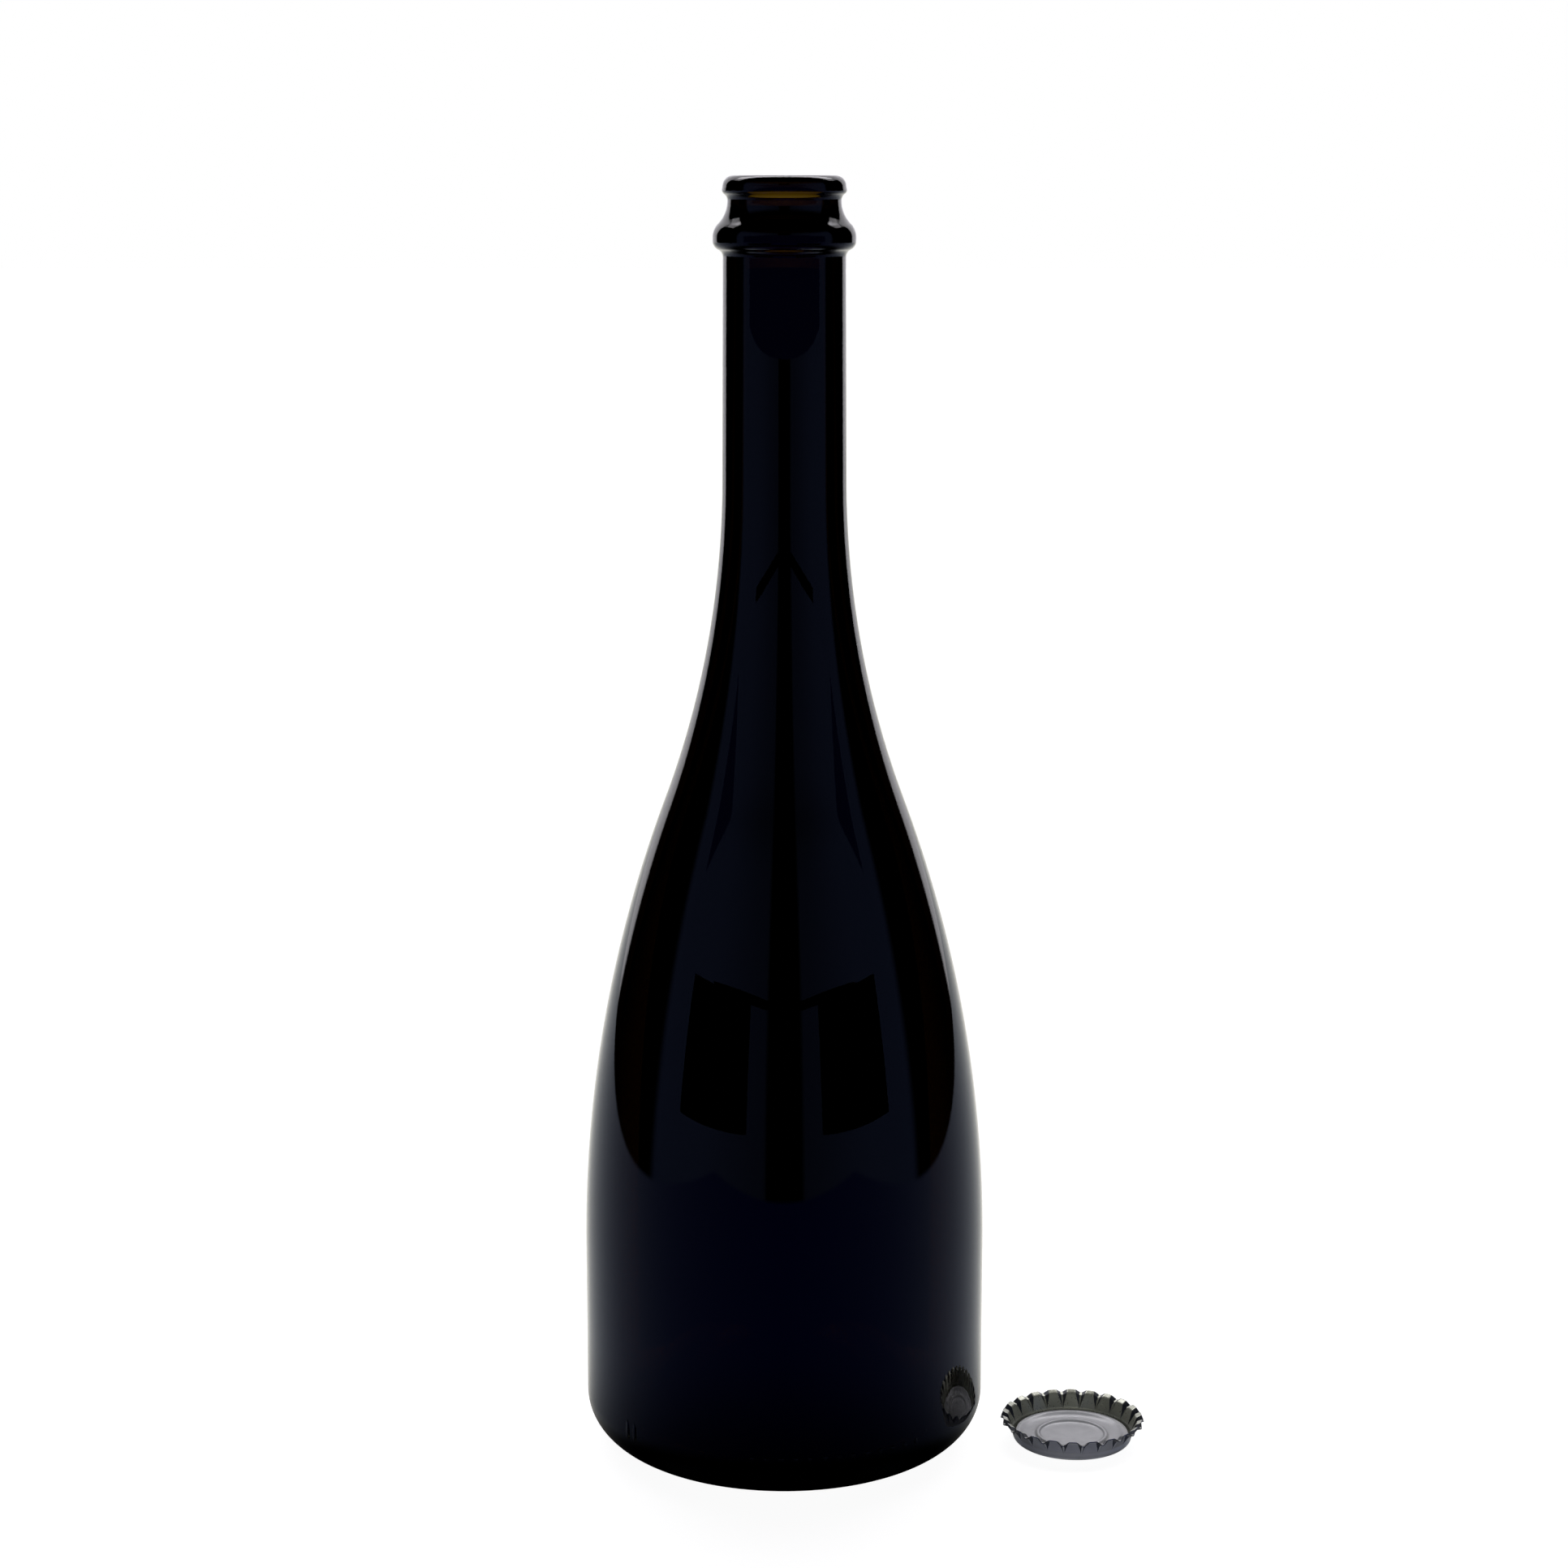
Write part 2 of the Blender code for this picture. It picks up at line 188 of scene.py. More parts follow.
class MeshTree(NodeBench):
    """A Geometry Nodes tree with named inputs, which ends as one plain mesh."""

    KINDS = {
        int: "NodeSocketInt",
        float: "NodeSocketFloat",
        Vector: "NodeSocketVector",
        Item: "NodeSocketObject",
        Material: "NodeSocketMaterial",
    }

    def __init__(self, name: str, inputs: dict[str, Any]) -> None:
        """Start the tree.

        Args:
            name: The tree's name.
            inputs: The value of each named input.
        """
        super().__init__(bpy.data.node_groups.new(name, "GeometryNodeTree"))
        interface = self.tree.interface
        for way in ("INPUT", "OUTPUT"):
            interface.new_socket("Geometry", in_out=way, socket_type="NodeSocketGeometry")
        self.values: dict[str, Any] = {}
        for label, value in inputs.items():
            socket = interface.new_socket(label, in_out="INPUT", socket_type=self.KINDS[type(value)])
            self.values[socket.identifier] = value
        self.given = self.tree.nodes.new("NodeGroupInput").outputs
        self.result = self.tree.nodes.new("NodeGroupOutput").inputs[0]

    def count(self, geometry: Any) -> Socket:
        """How many points a geometry has."""
        return self.add("GeometryNodeAttributeDomainSize", {"Geometry": geometry}).outputs["Point Count"]

    def sample(self, kind: str, value: Any, geometry: Any, index: Any) -> Socket:
        """Read a field of this kind, FLOAT or FLOAT_VECTOR, off one point of a geometry."""
        return self.add("GeometryNodeSampleIndex", {"Geometry": geometry, "Value": value, "Index": index},
                        data_type=kind, domain="POINT").outputs[0]

    def spot(self, geometry: Any, index: Any) -> Any:
        """The outputs X, Y and Z of the place of one point of a geometry."""
        return self.parts(self.sample("FLOAT_VECTOR", self.add("GeometryNodeInputPosition"), geometry, index))

    def about_axis(self, radius: Any, angle: Any, height: Any) -> Socket:
        """Find a place by its radius and angle about the tree's axis.

        Args:
            radius: Its distance from the axis.
            angle: Its angle in radians, from straight right.
            height: Its height.

        Returns:
            The place's socket.
        """
        place = self.add("ShaderNodeCombineXYZ", {
            "X": self.product(radius, self.math("COSINE", angle)),
            "Y": self.product(radius, self.math("SINE", angle)),
            "Z": height,
        })
        return self.total(place.outputs[0], self.given["Axis"])

    def store(self, name: str, value: Any, geometry: Any) -> Node:
        """Store a number on every point of a mesh under this name."""
        return self.add("GeometryNodeStoreNamedAttribute", {"Geometry": geometry, "Name": name, "Value": value},
                        data_type="FLOAT", domain="POINT")

    def named(self, name: str) -> Socket:
        """The numbers stored on a mesh under this name."""
        return self.add("GeometryNodeInputNamedAttribute", {"Name": name}, data_type="FLOAT").outputs[0]

    def end(self, geometry: Any, finishes: list[tuple[Any, Any]]) -> None:
        """Close the tree with smooth shading, real geometry and its finishes.

        Args:
            geometry: What the tree has made.
            finishes: Pairs of a material's socket and the faces that it covers, or None for all.
        """
        smooth = self.add("GeometryNodeSetShadeSmooth", {"Geometry": geometry})
        shown = self.add("GeometryNodeRealizeInstances", {"Geometry": smooth})
        for finish, faces in finishes:
            shown = self.add("GeometryNodeSetMaterial", {"Geometry": shown, "Material": finish})
            if faces is not None:
                self.feed(shown.inputs["Selection"], faces)
        self.feed(self.result, shown)

    def run(self, name: str, source: Mesh) -> Item:
        """Run the tree and keep its result as a plain mesh.

        Args:
            name: The finished object's name.
            source: The mesh that goes in.

        Returns:
            The finished object.
        """
        item = linked(name, source)
        modifier = item.modifiers.new(name, "NODES")
        modifier.node_group = self.tree
        for identifier, value in self.values.items():
            modifier[identifier] = value
        bpy.context.view_layer.update()
        graph = bpy.context.evaluated_depsgraph_get()
        mesh = bpy.data.meshes.new_from_object(item.evaluated_get(graph), depsgraph=graph)
        item.modifiers.remove(modifier)
        item.data = mesh
        mesh.name = name
        close_mesh(mesh)
        return item


class RoundTree(MeshTree):
    """Carries a section about an upright axis: a row for each of its points, columns all the way round."""

    def __init__(self, name: str, inputs: dict[str, Any]) -> None:
        """Start the tree, and find each point's row, its column and its place in the section.

        Args:
            name: The tree's name.
            inputs: The value of each named input.
        """
        super().__init__(name, inputs)
        self.section = self.given["Geometry"]
        self.rows = self.count(self.section)
        index = self.add("GeometryNodeInputIndex")
        self.row = self.math("MODULO", index, self.rows)
        self.column = self.math("FLOOR", self.math("DIVIDE", index, self.rows))
        self.place = self.spot(self.section, self.row)

    def grid(self, columns: Any) -> Socket:
        """A flat grid with this many columns, and one more that closes the turn."""
        sides = {"Vertices X": self.math("ADD", columns, 1), "Vertices Y": self.rows}
        return self.add("GeometryNodeMeshGrid", sides).outputs["Mesh"]

    def close(self, mesh: Any, place: Any) -> Node:
        """Move the points of a mesh to their places, and merge those that meet."""
        moved = self.add("GeometryNodeSetPosition", {"Geometry": mesh, "Position": place})
        return self.add("GeometryNodeMergeByDistance", {"Geometry": moved, "Distance": MERGE_DISTANCE})


class TurnedTree(RoundTree):
    """Turns an outline of points (radius, 0, height) a full turn about an upright axis."""

    def __init__(self, name: str, axis: Vector, segments: int, finish: Material) -> None:
        """Build the tree.

        Args:
            name: The tree's name.
            axis: The foot of the axis.
            segments: Flat facets in a full turn.
            finish: The material all over.
        """
        super().__init__(name, {"Axis": axis, "Segments": segments, "Finish": finish})
        angle = self.product(self.math("DIVIDE", self.column, self.given["Segments"]), math.tau)
        place = self.about_axis(self.place["X"], angle, self.place["Z"])
        turned = self.close(self.grid(self.given["Segments"]), place)
        self.end(turned, [(self.given["Finish"], None)])


class PressedTree(RoundTree):
    """Presses a fluted cap: rows up the sheet's section, columns round its flutes."""

    FACE_SLACK = 0.25

    def __init__(self, name: str, shell: "CrownShell", columns: Item, finishes: dict[ShellFace, Material]) -> None:
        """Build the tree.

        Args:
            name: The tree's name.
            shell: The cap's sizes and place.
            columns: One flute's points: share of the foot, share of the pitch, share of the lift.
            finishes: The material of each part of the sheet.
        """
        super().__init__(name, {
            "Axis": shell.axis, "Flutes": shell.flutes, "Flute": columns, "First": math.radians(shell.first_ridge_deg),
            "Ridge Depth": shell.ridge_depth, "Ridge Foot": shell.ridge_half_width / shell.land_edge_radius(),
            "Least Share": shell.least_ridge_share,
            **{face.name: finish for face, finish in finishes.items()},
        })
        flute = self.add("GeometryNodeObjectInfo", {"Object": self.given["Flute"]}).outputs["Geometry"]
        per_flute = self.count(flute)
        lean, share, face = (self.sample("FLOAT", self.named(label), self.section, self.row)
                             for label in ("lean", "share", "face"))
        step = self.spot(flute, self.math("MODULO", self.column, per_flute))

        whole = self.math("FLOOR", self.math("DIVIDE", self.column, per_flute))
        pitch = self.math("DIVIDE", math.tau, self.given["Flutes"])
        foot = self.product(self.given["Ridge Foot"], self.math("MAXIMUM", share, self.given["Least Share"]))
        angle = self.math("ADD", self.given["First"], self.math(
            "ADD", self.product(self.math("ADD", whole, step["Y"]), pitch), self.product(step["X"], foot)))
        lift = self.product(share, step["Z"], self.given["Ridge Depth"])
        reach = self.math("ADD", self.place["X"], self.product(lift, self.math("COSINE", lean)))
        height = self.math("SUBTRACT", self.place["Z"], self.product(lift, self.math("SINE", lean)))

        # A mask of painted shade: strongest halfway up each ridge's flank and growing towards the rim.
        slope = self.math("SUBTRACT", 1.0, self.math("ABSOLUTE", self.math("MULTIPLY_ADD", step["Z"], 2.0, -1.0)))
        grid = self.grid(self.product(per_flute, self.given["Flutes"]))
        marked = self.store("face", face, self.store("fold", self.product(share, slope), grid))
        on_face = self.named("face")
        self.end(self.close(marked, self.about_axis(reach, angle, height)), [
            (self.given["CUT"], None),
            (self.given["OUTSIDE"], self.math("LESS_THAN", on_face, ShellFace.OUTSIDE.value + self.FACE_SLACK)),
            (self.given["INSIDE"], self.math("GREATER_THAN", on_face, ShellFace.INSIDE.value - self.FACE_SLACK)),
            # Painted shade: faces where the mask is over the threshold get the dark fold finish, inside and out.
            (self.given["FOLD"], self.math("GREATER_THAN", self.named("fold"), shell.painted_fold_shade_from)),
        ])


class MarkTree(MeshTree):
    """A row of small raised marks round the heel, each a low dome sunk into the glass."""

    def __init__(self, name: str, marks: "HeelMarks", foot: Vector, tilt: float) -> None:
        """Build the tree.

        Args:
            name: The tree's name.
            marks: The row's sizes and finish.
            foot: Radius, zero and height of the glass where the marks stand.
            tilt: How far the glass faces down there, in radians.
        """
        super().__init__(name, {
            "Axis": marks.axis, "Count": marks.count, "First": math.radians(marks.first_deg),
            "Pitch": math.radians(marks.pitch_deg), "Foot": foot, "Tilt": tilt,
            "Size": Vector((marks.rise, marks.half_width, marks.half_height)), "Finish": marks.finish,
        })
        number = self.add("GeometryNodeInputIndex")
        bearing = self.math("ADD", self.given["First"], self.product(number, self.given["Pitch"]))
        turn = self.math("SUBTRACT", bearing, math.pi / 2)
        base = self.parts(self.given["Foot"])
        points = self.add("GeometryNodePoints", {
            "Count": self.given["Count"], "Position": self.about_axis(base["X"], turn, base["Z"])})
        dome = self.add("GeometryNodeMeshUVSphere", {
            "Segments": marks.dome_segments, "Rings": marks.dome_rings, "Radius": 1.0})
        rotation = self.add("ShaderNodeCombineXYZ", {"X": 0.0, "Y": self.given["Tilt"], "Z": turn})
        row = self.add("GeometryNodeInstanceOnPoints", {
            "Points": points, "Instance": dome.outputs["Mesh"], "Rotation": rotation.outputs[0],
            "Scale": self.given["Size"]})
        self.end(row, [(self.given["Finish"], None)])


class FinishBench(NodeBench):
    """The tree of a new material, with what its finishes have in common."""

    MIX_FIRST = 6
    MIX_SECOND = 7
    MIX_RESULT = 2

    def __init__(self, name: str) -> None:
        """Start the material with a plain Principled shader.

        Args:
            name: The material's name.
        """
        self.material = bpy.data.materials.new(name)
        self.material.use_nodes = True
        super().__init__(self.material.node_tree)
        self.where = self.add("ShaderNodeTexCoord").outputs["Object"]

    def noise(self, scale: float, detail: float) -> Socket:
        """A noise that stays on the object."""
        return self.add("ShaderNodeTexNoise", {"Vector": self.where, "Scale": scale, "Detail": detail}).outputs["Fac"]

    def drift(self, noise: Any, span: Point2, colour: Colour, other: Colour) -> Socket:
        """Go softly from one colour to the other while a noise goes through a span."""
        feeds = {"Factor": self.ramp(noise, *span), self.MIX_FIRST: colour, self.MIX_SECOND: other}
        return self.add("ShaderNodeMix", feeds, data_type="RGBA").outputs[self.MIX_RESULT]

    def bump(self, height: Any, distance: float, strength: float = 1.0) -> Node:
        """Raise and sink the surface by a noise."""
        return self.add("ShaderNodeBump", {"Height": height, "Distance": distance, "Strength": strength})

    def dress(self, feeds: dict[str, Any]) -> Material:
        """Finish the material.

        Args:
            feeds: What goes into the shader's inputs, by name.

        Returns:
            The material.
        """
        shader = self.tree.nodes["Principled BSDF"]
        for name, value in feeds.items():
            self.feed(shader.inputs[name], value)
        return self.material


@dataclass(frozen=True)
class DarkGlass:
    """Bottle glass that looks black until it is thin: almost no blue and little green gets through."""

    name: str = "dark_bottle_glass"
    refraction: float = 1.52
    roughness: float = 0.012
    absorbed: Colour = (0.57, 0.488, 0.0)
    absorbed_per_metre: float = 1450.0
    ripple_size: float = 38.0
    ripple_detail: float = 1.0
    ripple_height: float = 0.05 * MM
    ripple_strength: float = 0.12

    def make(self) -> Material:
        """Build the material.

        Returns:
            Clear shell with a slow ripple, over a volume that absorbs.
        """
        bench = FinishBench(self.name)
        ripple = bench.noise(self.ripple_size, self.ripple_detail)
        volume = bench.add("ShaderNodeVolumeAbsorption", {
            "Color": self.absorbed, "Density": self.absorbed_per_metre})
        exit_node = next(node for node in bench.tree.nodes if node.type == "OUTPUT_MATERIAL")
        bench.feed(exit_node.inputs["Volume"], volume)
        return bench.dress({
            "Normal": bench.bump(ripple, self.ripple_height, self.ripple_strength), "Base Color": WHITE,
            "Roughness": self.roughness, "IOR": self.refraction, "Transmission Weight": 1.0})


@dataclass(frozen=True)
class SheetFinish:
    """Tin plate, its lacquer, its cut edge (also painted shade by the rim), or the painted shade in its folds: a metal
    with fine grain and slight clouding.
    """

    name: str
    colour: Colour
    worn: Colour
    metallic: float = 1.0
    roughness: float = 0.3
    roughness_spread: float = 0.05
    coat: float = 0.0
    grain_size: float = 1800.0
    grain_detail: float = 2.0
    grain_span: Point2 = (0.3, 0.7)
    grain_depth: float = 0.0012 * MM
    cloud_size: float = 160.0
    cloud_detail: float = 3.0
    cloud_span: Point2 = (0.35, 0.7)

    def make(self) -> Material:
        """Build the material.

        Returns:
            Metal whose colour and gloss drift slowly and whose surface has fine grain.
        """
        bench = FinishBench(self.name)
        cloud = bench.noise(self.cloud_size, self.cloud_detail)
        grain = bench.noise(self.grain_size, self.grain_detail)
        return bench.dress({
            "Base Color": bench.drift(cloud, self.cloud_span, self.colour, self.worn),
            "Roughness": bench.ramp(grain, *self.grain_span, self.roughness - self.roughness_spread,
                                    self.roughness + self.roughness_spread),
            "Normal": bench.bump(grain, self.grain_depth), "Metallic": self.metallic, "Coat Weight": self.coat})


@dataclass(frozen=True)
class SealCompound:
    """Soft pale compound moulded into the cap: matt, slightly uneven, with a waxy gloss."""

    name: str = "seal_compound"
    colour: Colour = (0.48, 0.485, 0.5)
    stained: Colour = (0.425, 0.43, 0.445)
    roughness: float = 0.27
    specular: float = 0.7
    mottle_size: float = 420.0
    mottle_detail: float = 4.0
    mottle_span: Point2 = (0.35, 0.75)
    skin_size: float = 1500.0
    skin_detail: float = 2.0
    skin_depth: float = 0.01 * MM

    def make(self) -> Material:
        """Build the material.

        Returns:
            A moulded skin with faint mottling and fine unevenness.
        """
        bench = FinishBench(self.name)
        mottle = bench.noise(self.mottle_size, self.mottle_detail)
        return bench.dress({
            "Base Color": bench.drift(mottle, self.mottle_span, self.colour, self.stained),
            "Normal": bench.bump(bench.noise(self.skin_size, self.skin_detail), self.skin_depth),
            "Roughness": self.roughness, "Specular IOR Level": self.specular})


class SectionRow(NamedTuple):
    """One row of the cap's sheet: where it is, how it leans and what it shows."""

    radius: float
    height: float
    lean: float
    share: float
    face: ShellFace


@dataclass
class Bottle:
    """The moulded glass bottle: one turned wall, open at the mouth."""

    axis: Vector
    finish: Material
    height: float = 306.9 * MM
    body_radius: float = 48.75 * MM
    heel_reach: float = 13.25 * MM
    heel_height: float = 12.3 * MM
    bearing_width: float = 2.0 * MM
    shoulder_start: float = 49.5 * MM
    shoulder_arc_radius: float = 315.0 * MM
    sweep_arc_radius: float = 220.0 * MM
    neck_root_radius: float = 14.65 * MM
    neck_top_radius: float = 14.33 * MM
    body_wall: float = 4.3 * MM
    lip_wall: float = 5.3 * MM
    punt_depth: float = 28.0 * MM
    punt_wall: float = 6.5 * MM
    punt_edge_round: float = 1.5 * MM
    punt_edge_back: float = 0.6
    punt_edge_rise: float = 0.25
    gutter_floor: float = 7.0 * MM
    gutter_depth: float = 6.0 * MM
    lip_radius: float = 14.5 * MM
    lip_draft: float = 0.17 * MM
    lip_crest_round: float = 2.5 * MM
    lip_side: float = 0.8 * MM
    lip_under_round: float = 1.1 * MM
    lip_inner_round: float = 1.5 * MM
    throat_radius: float = 13.23 * MM
    throat_round: float = 1.9 * MM
    collar_radius: float = 16.69 * MM
    collar_band: float = 0.8 * MM
    collar_top_round: float = 4.4 * MM
    collar_top_fillet: float = 7.4 * MM
    collar_under_round: float = 2.25 * MM
    collar_under_fillet: float = 1.85 * MM
    segments: int = 256
    small_steps: int = 10
    long_steps: int = 36
    long_straight: float = 6.0 * MM
    guard_gap: float = 0.4 * MM

    def bearing_radius(self) -> float:
        """Outer radius of the ring that the bottle stands on."""
        return self.body_radius - self.heel_reach

    def punt_outline(self) -> list[Point2]:
        """Outline of the hollow underneath.

        Returns:
            Points from the top of the punt to the inner edge of the bearing ring.
        """
        radius, centre = self.punt_sphere()
        low = math.degrees(math.asin((self.punt_edge_round - centre) / radius))
        dome = arc((0.0, centre), (radius, radius), 90.0, low, self.long_steps)
        edge = self.bearing_radius() - self.bearing_width
        return dome + [(edge - self.punt_edge_back * self.punt_edge_round,
                        self.punt_edge_rise * self.punt_edge_round), (edge, 0.0)]

    def punt_sphere(self) -> Point2:
        """Radius of the punt's dome and the height of its centre.

        Returns:
            Radius and centre height.
        """
        edge = self.bearing_radius() - self.bearing_width - self.punt_edge_round
        radius = (edge ** 2 + self.punt_depth ** 2) / (2 * self.punt_depth)
        return radius, self.punt_depth - radius

    def heel_outline(self) -> list[Point2]:
        """The rounded heel, from the bearing ring out to the body."""
        return arc((self.bearing_radius(), self.heel_height), (self.heel_reach, self.heel_height), 270.0, 360.0,
                   2 * self.small_steps)

    def body_outline(self, wall: float) -> list[Point2]:
        """Side of the body from the heel up to the root of the neck.

        Args:
            wall: How far inside the outer surface the outline runs.

        Returns:
            Points going up.
        """
        reach = self.shoulder_arc_radius + self.sweep_arc_radius
        turn = math.acos(1 - (self.body_radius - self.neck_root_radius) / reach)
        shoulder = self.shoulder_arc_radius - wall
        sweep = self.sweep_arc_radius + wall
        shoulder_centre = (self.body_radius - self.shoulder_arc_radius, self.shoulder_start)
        sweep_centre = (self.neck_root_radius + self.sweep_arc_radius, self.shoulder_start + reach * math.sin(turn))
        degrees = math.degrees(turn)
        lower = arc(shoulder_centre, (shoulder, shoulder), 0.0, degrees, self.long_steps)
        upper = arc(sweep_centre, (sweep, sweep), 180.0 + degrees, 180.0, self.long_steps)
        return lower + upper[1:]

    def finish_outline(self) -> list[Point2]:
        """Outside of the mouth: collar, throat and lip.

        Returns:
            Points from the top of the neck up to the crest of the lip.
        """
        steps = self.small_steps
        throat_to_lip = blend_rise(self.lip_radius - self.throat_radius, self.throat_round, self.lip_under_round)
        collar_to_throat = blend_rise(self.collar_radius - self.throat_radius, self.collar_top_round,
                                      self.collar_top_fillet)
        neck_to_collar = blend_rise(self.collar_radius - self.neck_top_radius, self.collar_under_fillet,
                                    self.collar_under_round)
        crest_base = self.height - self.lip_crest_round
        throat = crest_base - self.lip_side - throat_to_lip
        band_top = throat - collar_to_throat
        neck_top = band_top - self.collar_band - neck_to_collar
        crest_centre = self.lip_radius - self.lip_draft - self.lip_crest_round
        return (
            blend((self.neck_top_radius, neck_top), self.collar_radius - self.neck_top_radius,
                  self.collar_under_fillet, self.collar_under_round, steps)
            + blend((self.collar_radius, band_top), self.throat_radius - self.collar_radius,
                    self.collar_top_round, self.collar_top_fillet, steps)
            + blend((self.throat_radius, throat), self.lip_radius - self.throat_radius,
                    self.throat_round, self.lip_under_round, steps)[1:]
            + arc((crest_centre, crest_base), (self.lip_crest_round, self.lip_crest_round), 0.0, 90.0, 2 * steps)
        )

    def inside_outline(self) -> list[Point2]:
        """Inner wall of the bottle.

        Returns:
            Points from the top of the lip down through the bore to the middle of the floor.
        """
        lip_edge = self.lip_radius - self.lip_wall + self.lip_inner_round
        mouth = arc((lip_edge, self.height - self.lip_inner_round), (self.lip_inner_round, self.lip_inner_round),
                    90.0, 180.0, self.small_steps)
        wall = self.body_outline(self.body_wall)[::-1]
        radius, centre = self.punt_sphere()
        inner = radius + self.punt_wall
        rim = self.gutter_floor + self.gutter_depth
        dome_angle = math.asin((rim - centre) / inner)
        dome_edge = inner * math.cos(dome_angle)
        half_gutter = (self.body_radius - self.body_wall - dome_edge) / 2
        gutter = arc((dome_edge + half_gutter, rim), (half_gutter, self.gutter_depth), 360.0, 180.0,
                     2 * self.small_steps)
        dome = arc((0.0, centre), (inner, inner), math.degrees(dome_angle), 90.0, self.long_steps)
        return mouth + wall + gutter + dome[1:]

    def side_point(self, height: float) -> tuple[Vector, float]:
        """A place on the heel or on the straight wall above it.

        Args:
            height: How high it is.

        Returns:
            Its radius, zero and height, and how far the glass faces down there in radians.
        """
        angle = math.acos(max(1 - height / self.heel_height, 0.0))
        radius = self.bearing_radius() + self.heel_reach * math.sin(angle)
        faces_down = math.atan2(math.cos(angle) / self.heel_height, math.sin(angle) / self.heel_reach)
        return Vector((radius, 0.0, height)), faces_down

    def build(self) -> None:
        """Make the bottle, seat it on its body and let it stand for its solid."""
        outline = (self.punt_outline() + self.heel_outline() + self.body_outline(0.0) + self.finish_outline()
                   + self.inside_outline())
        mesh = point_mesh("bottle_outline", guard(outline, self.long_straight, self.guard_gap))
        tree = TurnedTree("turned_bottle", self.axis, self.segments, self.finish)
        seat(tree.run("bottle_glass", mesh), "bottle", "glass_bottle")


@dataclass
class HeelMarks:
    """A row of small moulded marks low on the bottle."""

    name: str
    axis: Vector
    finish: Material
    count: int
    first_deg: float
    pitch_deg: float
    height: float
    half_width: float
    half_height: float
    rise: float
    dome_segments: int = 24
    dome_rings: int = 12

    def build(self, bottle: Bottle) -> None:
        """Make the row on the glass of this bottle."""
        tree = MarkTree(self.name, self, *bottle.side_point(self.height))
        seat(tree.run(self.name, bpy.data.meshes.new(self.name)), "bottle")


